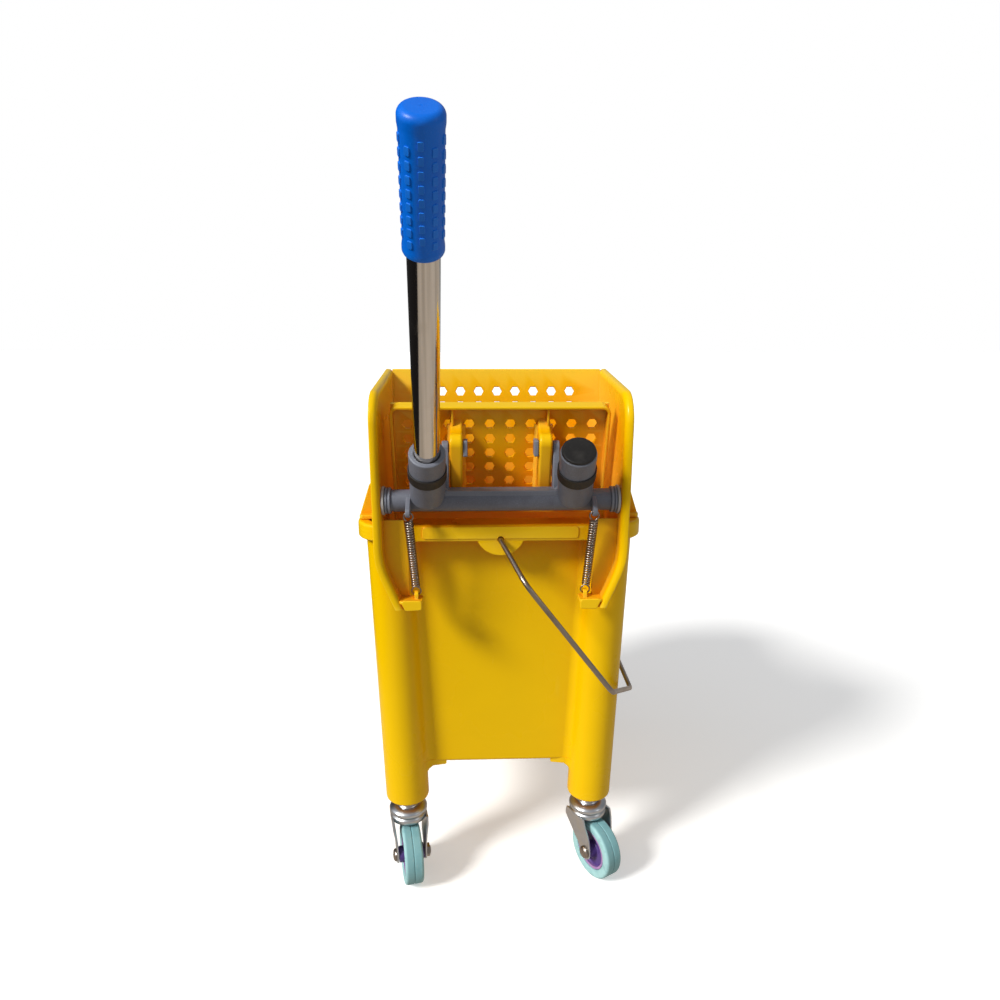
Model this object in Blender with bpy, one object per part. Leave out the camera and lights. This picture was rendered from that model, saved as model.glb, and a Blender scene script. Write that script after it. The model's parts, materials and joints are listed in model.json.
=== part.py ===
"""Mop bucket trolley with a lever-operated press wringer.

Units are metres and +Z is up.  The layout is drawn with Y = 0 on the wringer's crank shaft, +Y towards
the far end of the bucket and Z = 0 on the floor; a root empty then moves the whole trolley so that its
bounding box stands centred on the origin.
"""
from math import acos, atan2, cos, degrees, pi, radians, sin

import bmesh
import bpy
from mathutils import Matrix, Vector

GAP = 0.0003                    # running gap left between pieces that touch

# ---- bucket ---------------------------------------------------------------------------------------
RIM_Z = 0.418
RIM_HALF_WIDTH = 0.1382
RIM_NEAR_Y = 0.005
RIM_LENGTH = 0.400
RIM_CORNER = 0.031
RIM_SKIRT = 0.016               # height of the turned-down lip
RIM_BAR_HALF = 0.0745            # half the length of the bar along the near lip
RIM_THICK = 0.003
MID_Y = RIM_NEAR_Y + RIM_LENGTH / 2
WALL = 0.003
TANK_BOTTOM_Z = 0.136
TANK_FLOOR = 0.004
BODY_TOP_Z = 0.400              # height at which the body's top width is given
BODY_HALF_WIDTH = 0.131
SIDE_DRAFT = 0.0224
COLUMN_TOP_Y = 0.0145           # front of the corner columns at BODY_TOP_Z
COLUMN_DRAFT = 0.0517
COLUMN_RADIUS = 0.0234
COLUMN_BLEND = 0.012            # concave radius between a column and a panel
PANEL_RECESS_TOP = 0.0155
PANEL_RECESS_BOTTOM = 0.0214
SIDE_RECESS = 0.008
LEG_BOTTOM_Z = 0.0945
BAIL_LUG_RADIUS = 0.024
BAIL_LUG_THICK = 0.0035
BAIL_PIVOT_Z = 0.404

# ---- wringer frame --------------------------------------------------------------------------------
SHAFT_Z = 0.444
SIDE_INNER_X = 0.110
SIDE_THICK = 0.003
FLANGE_X = 0.118                # outer edge of the flange round the wringer's mouth
MOUTH_Y = -0.015
MOUTH_TOP_Z = 0.544
BACK_TOP = (0.1287, 0.555)      # top of the sloping back wall (Y, Z)
BACK_FOOT = (0.095, 0.396)
SHEET = 0.003
BASKET_NEAR_Y = 0.024
WING_REAR_Y = 0.003
WING_BOTTOM_Z = 0.340
WING_SHELF_Z = 0.350
WING_FOOT_X = 0.0995
WING_INNER_X = 0.074
WING_PANEL_X = 0.087
WING_WAIST_Z = 0.405
HOLE_ACROSS = 0.009             # across the flats of the drain holes
HOLE_PITCH_X = 0.0194
HOLE_PITCH_Z = 0.015
BACK_HOLE_TOP_Z = 0.5326
BACK_HOLE_ROWS = 2
BUSH_HOLE_R = 0.0113
BUSH_FLANGE_R = 0.0135
PLATE_PIN_HOLE_R = 0.0043

# ---- crank and lever ------------------------------------------------------------------------------
SHAFT_R = 0.01025
SHAFT_END = 0.107
SHAFT_DISC_R = 0.01225
SHAFT_DISC_WIDTH = 0.0055
JOURNAL_R = 0.008
JOURNAL_LENGTH = 0.0072
RIB_TOP = 0.0106                # flat bar along the shaft between the sockets
RIB_HALF = 0.0085
SOCKET_X = 0.068
SOCKET_R = 0.016
SOCKET_LENGTH = 0.0675
SOCKET_BORE_R = 0.0113
RING_R = 0.0173                 # black rings round the sockets
RING_SPAN = (0.0365, 0.0475)
LEVER_TILT = radians(39.4)      # lean of the sockets towards the operator
LEVER_SPLAY = radians(2.6)      # the two sockets lean towards each other
LEVER_LENGTH = 0.353
TUBE_R = 0.011
TUBE_WALL = 0.0012
GRIP_R = 0.0137
GRIP_LENGTH = 0.089
CRANK_PIN = (0.012, 0.047)      # crank pin from the shaft axis (Y, Z)
CRANK_PIN_R = 0.004
CRANK_PIN_HEAD = (0.0308, 0.0349)   # span in X of the pin's square head
CRANK_PIN_HEAD_HALF = 0.0075
ARM_X = (0.0483, 0.0545)
ARM_FOOT = (0.0055, 0.0)        # centre of the arm's root (Y, Z)
SPRING_LUG = (-0.018, -0.007)   # spring hole from the shaft axis (Y, Z)
SPRING_LUG_X = 0.085

# ---- press plate ----------------------------------------------------------------------------------
PLATE_HINGE = (0.035, 0.408)    # (Y, Z)
PLATE_LEAN = radians(15.5)
PLATE_HALF_WIDTH = 0.103
PLATE_OFFSET = 0.0215           # front face of the sheet ahead of the hinge line
PLATE_TOP = 0.122
PLATE_FOOT = 0.004
EAR_X = (0.0352, 0.0475)
EAR_SLOT = (0.041, 0.0875)
EAR_SLOT_HALF = 0.0056

# ---- springs and bail -----------------------------------------------------------------------------
SPRING_HOOK = (0.080, -0.005, 0.353)
SPRING_R = 0.0042
SPRING_WIRE_R = 0.00065
SPRING_LOOP_R = 0.0042
BAIL_WIRE_R = 0.0025
BAIL_ANGLE = radians(52.5)      # below the horizontal, resting beside the corner columns
BAIL_SHOULDER = (0.034, 0.0515) # where each arm turns to run level: reach, and splay
BAIL_ARM = (0.167, 0.0535)      # end of each arm: reach, and splay beyond the rim
BAIL_GRIP = (0.237, 0.145)      # hand grip: reach, and half its length

# ---- casters --------------------------------------------------------------------------------------
WHEEL_R = 0.03175
WHEEL_HALF = 0.010
HUB_R = 0.0215
CASTER_TRAIL = 0.0175
CUP_TOP_Z = 0.0845
CUP_R = 0.0208
CROWN_Z = (0.0665, 0.0745)
FORK_HALF = 0.0165              # outer face of a fork plate from the wheel's middle
FORK_PLATE = 0.0022
STEM_R = 0.005
STEM_TOP_Z = 0.125
AXLE_R = 0.004
CASTER_YAW = {"near_left": 12, "near_right": 30, "far_left": -20, "far_right": 16}

COLOURS = {
    "yellow_plastic": ((0.83, 0.46, 0.01), 0.32, 0.0),
    "grey_plastic": ((0.16, 0.17, 0.21), 0.45, 0.0),
    "black_rubber": ((0.02, 0.018, 0.017), 0.55, 0.0),
    "chrome": ((0.80, 0.79, 0.77), 0.08, 1.0),
    "blue_plastic": ((0.0, 0.14, 0.75), 0.35, 0.0),
    "steel": ((0.55, 0.53, 0.50), 0.28, 1.0),
    "zinc": ((0.60, 0.60, 0.62), 0.30, 1.0),
    "tyre": ((0.22, 0.48, 0.52), 0.60, 0.0),
    "hub_plastic": ((0.10, 0.05, 0.24), 0.40, 0.0),
    "white_plastic": ((0.75, 0.74, 0.70), 0.40, 0.0),
}


# ---- scene helpers --------------------------------------------------------------------------------
def clear_scene():
    for old in list(bpy.data.objects):
        bpy.data.objects.remove(old, do_unlink=True)


def make_materials():
    made = {}
    for name, (colour, roughness, metallic) in COLOURS.items():
        material = bpy.data.materials.new(name)
        material.use_nodes = True
        shader = material.node_tree.nodes["Principled BSDF"]
        shader.inputs["Base Color"].default_value = (*colour, 1.0)
        shader.inputs["Roughness"].default_value = roughness
        shader.inputs["Metallic"].default_value = metallic
        made[name] = material
    return made


def link(name, data, parent=None):
    piece = bpy.data.objects.new(name, data)
    bpy.context.scene.collection.objects.link(piece)
    piece.parent = parent
    return piece


def empty(name, parent, location=(0, 0, 0), rotation=(0, 0, 0)):
    point = link(name, None, parent)
    point.empty_display_size = 0.02
    point.location = location
    point.rotation_euler = rotation
    return point


def place(name, mesh, material, parent, angle=35):
    """A named piece of the trolley, its mesh drawn in the parent's own coordinates."""
    mesh.name = name
    piece = link(name, mesh, parent)
    mesh.materials.clear()
    mesh.materials.append(MATERIALS[material])
    mesh.shade_smooth()
    mesh.set_sharp_from_angle(angle=radians(angle))
    return piece


# ---- solids ---------------------------------------------------------------------------------------
def to_mesh(solid, matrix=None):
    """Turns a bmesh into a mesh whose faces all point outwards."""
    if matrix is not None:
        bmesh.ops.transform(solid, matrix=matrix, verts=solid.verts)
    bmesh.ops.recalc_face_normals(solid, faces=solid.faces)
    mesh = bpy.data.meshes.new("solid")
    solid.to_mesh(mesh)
    solid.free()
    return mesh


def loft(loops, matrix=None):
    """Closed solid through loops of equally many points, capped at both ends."""
    solid = bmesh.new()
    rings = [[solid.verts.new(point) for point in loop] for loop in loops]
    count = len(rings[0])
    for low, high in zip(rings, rings[1:]):
        for i in range(count):
            j = (i + 1) % count
            solid.faces.new((low[i], low[j], high[j], high[i]))
    solid.faces.new(rings[0])
    solid.faces.new(rings[-1])
    return to_mesh(solid, matrix)


def prism(outline, axis, low, high, matrix=None):
    """Outline extruded along an axis; the outline's two values follow X, Y, Z order."""
    order = {"X": (2, 0, 1), "Y": (0, 2, 1), "Z": (0, 1, 2)}[axis]

    def point(flat, depth):
        values = (*flat, depth)
        return tuple(values[i] for i in order)

    return loft([[point(flat, depth) for flat in outline] for depth in (low, high)], matrix)


def box(low, high, matrix=None):
    outline = [(low[0], low[1]), (high[0], low[1]), (high[0], high[1]), (low[0], high[1])]
    return prism(outline, "Z", low[2], high[2], matrix)


def circle(radius, count, centre=(0, 0), start=0.0):
    turn = 2 * pi / count
    return [(centre[0] + radius * cos(start + i * turn), centre[1] + radius * sin(start + i * turn))
            for i in range(count)]


def rod(radius, axis, low, high, centre=(0, 0), count=20, matrix=None):
    return prism(circle(radius, count, centre, pi / count), axis, low, high, matrix)


def turned(profile, count=24, matrix=None, ring=False):
    """Solid of revolution about Z from (radius, height) points; a ring profile closes on itself."""
    solid = bmesh.new()
    rings = []
    for radius, height in profile:
        if radius == 0:
            rings.append([solid.verts.new((0, 0, height))])
        else:
            rings.append([solid.verts.new((x, y, height)) for x, y in circle(radius, count)])
    pairs = list(zip(rings, rings[1:]))
    if ring:
        pairs.append((rings[-1], rings[0]))
    for low, high in pairs:
        for i in range(count):
            j = (i + 1) % count
            corners = [low[i % len(low)], low[j % len(low)], high[j % len(high)], high[i % len(high)]]
            solid.faces.new(list(dict.fromkeys(corners)))
    return to_mesh(solid, matrix)


def joined(meshes):
    """Separate bodies gathered in one mesh, for use as a cutter."""
    solid = bmesh.new()
    for mesh in meshes:
        solid.from_mesh(mesh)
        bpy.data.meshes.remove(mesh)
    mesh = bpy.data.meshes.new("cutter")
    solid.to_mesh(mesh)
    solid.free()
    return mesh


def combine(base, others, operation):
    """Base united with, or cut by, each other mesh in turn."""
    body = link("combine_base", base)
    for other in others:
        tool = link("combine_tool", other)
        step = body.modifiers.new("step", "BOOLEAN")
        step.operation = operation
        step.solver = "EXACT"
        step.object = tool
        graph = bpy.context.evaluated_depsgraph_get()
        result = bpy.data.meshes.new_from_object(body.evaluated_get(graph))
        body.modifiers.clear()
        body.data = result
        bpy.data.objects.remove(tool, do_unlink=True)
        bpy.data.meshes.remove(other)
    result = body.data
    bpy.data.objects.remove(body, do_unlink=True)
    return tidy(result)


def unite(base, *others):
    return combine(base, others, "UNION")


def cut(base, *others):
    return combine(base, others, "DIFFERENCE")


def tidy(mesh):
    """Joins points closer than the meshes' precision and drops the slivers between them."""
    solid = bmesh.new()
    solid.from_mesh(mesh)
    bmesh.ops.remove_doubles(solid, verts=solid.verts, dist=0.00002)
    bmesh.ops.dissolve_degenerate(solid, edges=solid.edges, dist=0.00002)
    bmesh.ops.dissolve_limit(solid, angle_limit=radians(0.2), verts=solid.verts, edges=solid.edges)
    bmesh.ops.triangulate(solid, faces=solid.faces)
    solid.to_mesh(mesh)
    solid.free()
    return mesh


def mirrored(mesh):
    """The same mesh reflected in the plane X = 0."""
    solid = bmesh.new()
    solid.from_mesh(mesh)
    bmesh.ops.transform(solid, matrix=Matrix.Scale(-1, 4, (1, 0, 0)), verts=solid.verts)
    bmesh.ops.reverse_faces(solid, faces=solid.faces)
    copy = bpy.data.meshes.new("mirrored")
    solid.to_mesh(copy)
    solid.free()
    return copy


def arc(centre, radius, start, end, steps):
    """Points on an arc, its angles in degrees, both ends included."""
    angles = [radians(start + (end - start) * i / steps) for i in range(steps + 1)]
    return [(centre[0] + radius * cos(a), centre[1] + radius * sin(a)) for a in angles]


def hexagons(columns, rows, axis, low, high):
    """One cutter of hexagonal prisms at every column and row."""
    radius = HOLE_ACROSS / 2 / cos(pi / 6)
    return joined([prism(circle(radius, 6, (column, row), pi / 6), axis, low, high)
                   for row in rows for column in columns])


def centred(count, pitch):
    return [(i - (count - 1) / 2) * pitch for i in range(count)]


# ---- bucket ---------------------------------------------------------------------------------------
def body_size(z):
    """Half width, column front and end panel recess of the bucket's outside at a height."""
    drop = BODY_TOP_Z - z
    depth = PANEL_RECESS_TOP + (PANEL_RECESS_BOTTOM - PANEL_RECESS_TOP) * drop / (BODY_TOP_Z - TANK_BOTTOM_Z)
    return BODY_HALF_WIDTH - drop * SIDE_DRAFT, COLUMN_TOP_Y + drop * COLUMN_DRAFT, depth


def column_centre(z):
    half, front, _ = body_size(z)
    return half - COLUMN_RADIUS, front + COLUMN_RADIUS


def quadrant(z, inset):
    """A quarter of the body's outline, from the near panel round one column to the side panel."""
    _, _, end_recess = body_size(z)
    x, y = column_centre(z)
    outer = COLUMN_RADIUS - inset
    inner = COLUMN_BLEND + inset
    end_turn = degrees(acos(1 - end_recess / (COLUMN_RADIUS + COLUMN_BLEND)))
    side_turn = degrees(acos(1 - SIDE_RECESS / (COLUMN_RADIUS + COLUMN_BLEND)))
    reach = COLUMN_RADIUS + COLUMN_BLEND
    end_hub = (x - reach * sin(radians(end_turn)), y - reach * cos(radians(end_turn)))
    side_hub = (x + reach * cos(radians(side_turn)), y + reach * sin(radians(side_turn)))
    points = arc(end_hub, inner, 90, 90 - end_turn, 3)
    points += arc((x, y), outer, -90 - end_turn, side_turn, 11)
    points += arc(side_hub, inner, 180 + side_turn, 180, 2)
    return points


def all_round(points, z):
    """A quarter outline mirrored to all four corners, as one loop in order."""
    far = [(x, 2 * MID_Y - y) for x, y in reversed(points)]
    right = points + far
    left = [(-x, y) for x, y in reversed(right)]
    return [(x, y, z) for x, y in right + left]


def body_loop(z, inset=0.0):
    return all_round(quadrant(z, inset), z)


def rim_loop(z, inset):
    """The rim's plain rounded rectangle, its points matched to those of the body below it."""
    x_hub = RIM_HALF_WIDTH - RIM_CORNER
    y_hub = RIM_NEAR_Y + RIM_CORNER
    radius = RIM_CORNER - inset
    source = quadrant(RIM_Z, 0)
    x0, y0 = column_centre(RIM_Z)
    points = []
    for x, y in source:
        angle = atan2(y - y0, x - x0)
        if x <= x0:
            points.append((x * x_hub / x0, y_hub - radius))
        elif y >= y0:
            points.append((x_hub + radius, y_hub + (y - y0)))
        else:
            points.append((x_hub + radius * cos(angle), y_hub + radius * sin(angle)))
    return all_round(points, z)


def bucket_mesh():
    under = RIM_Z - RIM_THICK
    foot = RIM_Z - RIM_SKIRT
    soft = 0.0012
    loops = [body_loop(TANK_BOTTOM_Z, 0.003), body_loop(TANK_BOTTOM_Z + 0.003), body_loop(under)]
    loops += [rim_loop(under, RIM_THICK), rim_loop(foot, RIM_THICK), rim_loop(foot, 0)]
    loops += [rim_loop(RIM_Z - soft, 0), rim_loop(RIM_Z, soft)]
    loops += [body_loop(RIM_Z, WALL), body_loop(TANK_BOTTOM_Z + TANK_FLOOR, WALL)]
    shell = loft(loops)
    legs, bores = [], []
    for x_sign in (-1, 1):
        for far in (False, True):
            top, bottom = [leg_circle(z, shrink, x_sign, far)
                           for z, shrink in ((TANK_BOTTOM_Z + 0.002, 0.0006),
                                             (LEG_BOTTOM_Z + 0.002, 0.0002))]
            foot_loop = leg_circle(LEG_BOTTOM_Z, 0.0022, x_sign, far)
            legs.append(loft([foot_loop, bottom, top]))
            x, y = caster_place(x_sign, far)
            bores.append(rod(STEM_R + GAP, "Z", LEG_BOTTOM_Z - 0.01, STEM_TOP_Z + 0.001, (x, y), 16))
    lugs = [bail_lug(False), bail_lug(True), rim_bar()]
    holes = [bail_hole(False), bail_hole(True)]
    return cut(unite(shell, *legs, *lugs), *bores, *holes)


def leg_circle(z, shrink, x_sign, far):
    x, y = column_centre(z)
    y = 2 * MID_Y - y if far else y
    return [(px, py, z) for px, py in circle(COLUMN_RADIUS - shrink, 20, (x * x_sign, y))]


def caster_place(x_sign, far):
    x, y = column_centre(LEG_BOTTOM_Z)
    return x * x_sign, (2 * MID_Y - y if far else y)


def rim_bar():
    """Raised bar along the near lip, between the wringer's wings."""
    low = (-RIM_BAR_HALF, RIM_NEAR_Y - 0.0012, RIM_Z - 0.0135)
    return box(low, (RIM_BAR_HALF, RIM_NEAR_Y + 0.0012, RIM_Z - 0.0012))


def bail_lug(far):
    """Half-round lug hanging from the lip for one of the bail's pivots."""
    centre = (0.0, RIM_Z - 0.0065)
    outline = arc(centre, BAIL_LUG_RADIUS, 180, 360, 16)
    outline += [(BAIL_LUG_RADIUS, RIM_Z - 0.001), (-BAIL_LUG_RADIUS, RIM_Z - 0.001)]
    low = RIM_NEAR_Y + 0.0004
    high = low + BAIL_LUG_THICK
    if far:
        low, high = 2 * MID_Y - high, 2 * MID_Y - low
    return prism(outline, "Y", low, high)


def bail_hole(far):
    low, high = RIM_NEAR_Y - 0.005, RIM_NEAR_Y + 0.015
    if far:
        low, high = 2 * MID_Y - high, 2 * MID_Y - low
    return rod(BAIL_WIRE_R + 0.0009, "Y", low, high, (0, BAIL_PIVOT_Z), 12)


# ---- wringer frame --------------------------------------------------------------------------------
def side_outline():
    top_y, top_z = BACK_TOP
    foot_y, foot_z = BACK_FOOT
    seat = RIM_Z + GAP
    outline = [(MOUTH_Y, WING_WAIST_Z - 0.004), (WING_REAR_Y, WING_WAIST_Z - 0.004), (WING_REAR_Y, seat)]
    outline += [(BASKET_NEAR_Y, seat), (BASKET_NEAR_Y, foot_z + 0.006), (BASKET_NEAR_Y + 0.006, foot_z)]
    outline += [(foot_y + SHEET, foot_z), (top_y + SHEET, top_z)]
    outline += arc((MOUTH_Y + 0.028, MOUTH_TOP_Z - 0.028), 0.028, 93, 180, 6)
    return outline


def mouth_flange():
    """Outward flange along the mouth's front edge and down each wing to its foot."""
    inner = SIDE_INNER_X + 0.0005
    foot = WING_FOOT_X
    outline = [(inner, MOUTH_TOP_Z - 0.016), (FLANGE_X - 0.001, MOUTH_TOP_Z - 0.016)]
    outline += [(FLANGE_X, WING_WAIST_Z + 0.03), (FLANGE_X - 0.001, WING_WAIST_Z)]
    outline += [(FLANGE_X - 0.005, WING_WAIST_Z - 0.025), (foot + 0.0015, WING_BOTTOM_Z + 0.006)]
    outline += [(foot - 0.004, WING_BOTTOM_Z), (foot - 0.014, WING_BOTTOM_Z), (foot - 0.008, WING_SHELF_Z)]
    outline += [(inner - 0.006, WING_WAIST_Z - 0.025), (inner, WING_WAIST_Z)]
    return prism(outline, "Y", MOUTH_Y - 0.0008, MOUTH_Y + 0.0027)


def top_flange():
    """Outward flange along the sloping top edge of a side wall."""
    top_y, top_z = BACK_TOP
    bend = arc((MOUTH_Y + 0.028, MOUTH_TOP_Z - 0.028), 0.0285, 93, 178, 6)
    inside = arc((MOUTH_Y + 0.028, MOUTH_TOP_Z - 0.028), 0.0255, 178, 93, 6)
    outline = [(top_y + SHEET, top_z + 0.0005), *bend, *inside, (top_y + SHEET, top_z - 0.0025)]
    return prism(outline, "X", SIDE_INNER_X + 0.0005, FLANGE_X - 0.001)


def wing_side():
    """Outer wall of a wing, curving in from the side wall to the wing's foot."""
    outer = [(0.1125, WING_WAIST_Z + 0.004), (0.1115, WING_WAIST_Z - 0.015)]
    outer += [(0.108, WING_WAIST_Z - 0.033), (0.0985, WING_BOTTOM_Z + 0.0008)]
    inner = [(x - 0.003, z) for x, z in reversed(outer)]
    return prism(outer + inner, "Y", MOUTH_Y + 0.0004, WING_REAR_Y)


def wing_back():
    low, top = WING_BOTTOM_Z + 0.0015, WING_WAIST_Z + 0.020
    outline = [(WING_PANEL_X, low), (0.0975, low), (0.107, WING_WAIST_Z - 0.033)]
    outline += [(0.1105, WING_WAIST_Z - 0.015), (0.1115, top)]
    outline += [(WING_PANEL_X + 0.008, top), (WING_PANEL_X, WING_WAIST_Z)]
    return prism(outline, "Y", WING_REAR_Y - 0.003, WING_REAR_Y - 0.0004)


def wing_shelf():
    shelf = box((WING_INNER_X, MOUTH_Y + 0.0002, WING_SHELF_Z - 0.003),
                (0.1005, WING_REAR_Y - 0.0008, WING_SHELF_Z))
    front = box((WING_INNER_X + 0.0004, MOUTH_Y - 0.0004, WING_BOTTOM_Z),
                (0.0965, MOUTH_Y + 0.0022, WING_SHELF_Z + 0.001))
    return unite(shelf, front)


def spring_hook():
    """Upright tab with a hole for the spring's end loop."""
    x, y, z = SPRING_HOOK
    outline = [(y - 0.0045, WING_SHELF_Z - 0.001), (y + 0.0045, WING_SHELF_Z - 0.001)]
    outline += arc((y, z), 0.0045, 0, 180, 6)
    tab = prism(outline, "X", x - 0.0017, x + 0.0017)
    return cut(tab, rod(0.0022, "X", x - 0.01, x + 0.01, (y, z), 8))


def hanger():
    """Lug that carries the wringer on the bucket's side rim."""
    seat = RIM_Z + GAP
    root = SIDE_INNER_X + 0.001
    tip = RIM_HALF_WIDTH - 0.0018
    plate = box((root, 0.028, seat), (tip, 0.050, seat + 0.004))
    rib = [(root, seat + 0.001), (tip - 0.0003, seat + 0.001), (tip - 0.0003, seat + 0.0045)]
    rib += [(0.127, seat + 0.032), (root, seat + 0.056)]
    return unite(plate, prism(rib, "Y", 0.037, 0.041))


def half_frame():
    """Everything on the wringer's +X side that is joined to its side wall."""
    wall = prism(side_outline(), "X", SIDE_INNER_X, SIDE_INNER_X + SIDE_THICK)
    body = unite(wall, mouth_flange(), top_flange(), wing_side(), wing_back(), wing_shelf(),
                 spring_hook(), hanger())
    bush = rod(BUSH_HOLE_R, "X", 0.10, 0.13, (0, SHAFT_Z), 20)
    pin = rod(PLATE_PIN_HOLE_R, "X", 0.10, 0.13, PLATE_HINGE, 12)
    return cut(body, bush, pin)


def wringer_mesh():
    inside = SIDE_INNER_X + 0.001
    (foot_y, foot_z), (top_y, top_z) = BACK_FOOT, BACK_TOP
    back = [(foot_y, foot_z + 0.0005), (foot_y + SHEET - 0.0005, foot_z + 0.0005)]
    back += [(top_y + SHEET - 0.0005, top_z - 0.0005), (top_y, top_z - 0.0005)]
    rows = [BACK_HOLE_TOP_Z - i * HOLE_PITCH_Z for i in range(BACK_HOLE_ROWS)]
    back_wall = cut(prism(back, "X", -inside, inside),
                    hexagons(centred(9, HOLE_PITCH_X), rows, "Y", 0.08, 0.15))
    floor = box((-inside, 0.0385, foot_z + 0.0003), (inside, foot_y + 0.001, foot_z + SHEET))
    floor = cut(floor, hexagons(centred(9, HOLE_PITCH_X), [0.051, 0.066, 0.081], "Z", 0.39, 0.41))
    right = half_frame()
    left = mirrored(right)
    return unite(right, back_wall, floor, left)


# ---- crank and lever ------------------------------------------------------------------------------
def socket_matrix(side):
    """Frame whose Z runs up a lever socket from the shaft's axis; side is -1 or 1."""
    lean = Matrix.Rotation(LEVER_TILT, 4, "X") @ Matrix.Rotation(-side * LEVER_SPLAY, 4, "Y")
    return Matrix.Translation((side * SOCKET_X, 0, 0)) @ lean


def crank_arm(side):
    """Arm from the shaft up to a crank pin."""
    y, z = CRANK_PIN
    tip = degrees(atan2(z, y - ARM_FOOT[0]))
    outline = arc(ARM_FOOT, 0.0068, tip + 90, tip + 270, 8)
    outline += arc(CRANK_PIN, 0.0066, tip - 90, tip + 90, 8)
    low, high = sorted((side * ARM_X[0], side * ARM_X[1]))
    return prism(outline, "X", low, high)


def spring_lug(side):
    y, z = SPRING_LUG
    tip = degrees(atan2(z, y))
    outline = arc((0, 0), SHAFT_R - 0.0006, tip + 90, tip + 270, 6)
    outline += arc(SPRING_LUG, 0.0045, tip - 90, tip + 90, 6)
    low, high = sorted((side * (SPRING_LUG_X - 0.002), side * (SPRING_LUG_X + 0.002)))
    return prism(outline, "X", low, high)


def crank_mesh():
    disc, tip = SHAFT_END - SHAFT_DISC_WIDTH, SHAFT_END + JOURNAL_LENGTH
    right = [(SHAFT_R, disc), (SHAFT_DISC_R, disc), (SHAFT_DISC_R, SHAFT_END), (JOURNAL_R, SHAFT_END)]
    right += [(JOURNAL_R, tip), (0, tip)]
    left = [(radius, -x) for radius, x in reversed(right)]
    shaft = turned(left + right, 20, Matrix.Rotation(pi / 2, 4, "Y"))
    end, flat = 0.060, 0.050
    outline = [(-end, 0.002), (end, 0.002), (end, RIB_TOP + 0.001), (flat, RIB_TOP), (-flat, RIB_TOP)]
    outline += [(-end, RIB_TOP + 0.001)]
    rib = prism(outline, "Y", -RIB_HALF, RIB_HALF)
    parts, bores = [rib], []
    for side in (-1, 1):
        frame = socket_matrix(side)
        profile = [(0, 0.004), (0.0125, 0.004), (SOCKET_R, 0.010)]
        profile += [(SOCKET_R, SOCKET_LENGTH), (0, SOCKET_LENGTH)]
        parts.append(turned(profile, 24, frame))
        parts += [crank_arm(side), spring_lug(side)]
        bores.append(rod(SOCKET_BORE_R, "Z", 0.016, SOCKET_LENGTH + 0.01, (0, 0), 24, frame))
        x, y, z = side * SPRING_LUG_X, *SPRING_LUG
        bores.append(rod(0.0022, "X", x - 0.006, x + 0.006, (y, z), 8))
        bores.append(rod(CRANK_PIN_R + GAP, "X", *sorted((side * 0.045, side * 0.070)), CRANK_PIN, 12))
    return cut(unite(shaft, *parts), *bores)


def crank_pin_mesh(side):
    """Pin through the press plate's ear, with a square head on its inner side."""
    low, high = sorted((side * (CRANK_PIN_HEAD[1] - 0.001), side * (ARM_X[1] - 0.0004)))
    shank = rod(CRANK_PIN_R, "X", low, high, CRANK_PIN, 12)
    y, z = CRANK_PIN
    half = CRANK_PIN_HEAD_HALF
    head_low, head_high = sorted((side * CRANK_PIN_HEAD[0], side * CRANK_PIN_HEAD[1]))
    head = box((head_low, y - half, z - half), (head_high, y + half, z + half))
    return unite(head, shank)


def bush_mesh(side):
    """Flanged bush that carries the shaft in a side wall."""
    bore = JOURNAL_R + GAP
    barrel = BUSH_HOLE_R - GAP
    start, inner, outer = SHAFT_END + GAP, SIDE_INNER_X - GAP, SIDE_INNER_X + SIDE_THICK + 0.0008
    profile = [(bore, start), (BUSH_FLANGE_R, start), (BUSH_FLANGE_R, inner)]
    profile += [(barrel, inner), (barrel, outer), (bore, outer)]
    return turned(profile, 16, Matrix.Rotation(side * pi / 2, 4, "Y"), ring=True)


def grip_profile():
    top = LEVER_LENGTH
    low = top - GRIP_LENGTH
    inside = TUBE_R + GAP
    outer = [(GRIP_R - 0.0006, low), (GRIP_R, low + 0.0015), (GRIP_R + 0.0002, top - 0.006)]
    crown = arc((GRIP_R - 0.0048, top - 0.005), 0.005, 0, 90, 4)
    return [(0, top - 0.0045), (inside, top - 0.0045), (inside, low), *outer, *crown, (0, top)]


# ---- press plate ----------------------------------------------------------------------------------
def plate_ear(side):
    low, high = sorted((side * EAR_X[0], side * EAR_X[1]))
    foot, head = 0.030, 0.0905
    root = PLATE_OFFSET + 0.001
    outline = [(root, foot - 0.010), (root, head + 0.016), (0.006, head + 0.008)]
    outline += arc((0, head), 0.0095, 80, 180, 6)
    outline += [(-0.0095, foot + 0.006), (-0.004, foot)]
    ear = prism(outline, "X", low, high)
    slot_low, slot_high = EAR_SLOT
    slot = arc((0, slot_high), EAR_SLOT_HALF, 0, 180, 8) + arc((0, slot_low), EAR_SLOT_HALF, 180, 360, 8)
    return cut(ear, prism(slot, "X", low - 0.01, high + 0.01))


def plate_side(side):
    """Side flange of the tray, reaching forward to the hinge at its foot."""
    low, high = sorted((side * (PLATE_HALF_WIDTH - 0.003), side * PLATE_HALF_WIDTH))
    outline = [(PLATE_OFFSET + 0.0028, PLATE_FOOT + 0.0002), (PLATE_OFFSET + 0.0028, PLATE_TOP - 0.0002)]
    outline += [(0.012, PLATE_TOP - 0.0002), (0.009, PLATE_TOP - 0.004), (0.009, 0.034), (-0.0045, 0.010)]
    outline += arc((0, 0), 0.0065, 170, 290, 5)
    return prism(outline, "X", low, high)


def plate_rib(x, low, high):
    """Upright rib on the front of the plate."""
    return box((x - 0.0011, PLATE_OFFSET - 0.008, low), (x + 0.0011, PLATE_OFFSET + 0.001, high))


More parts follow.
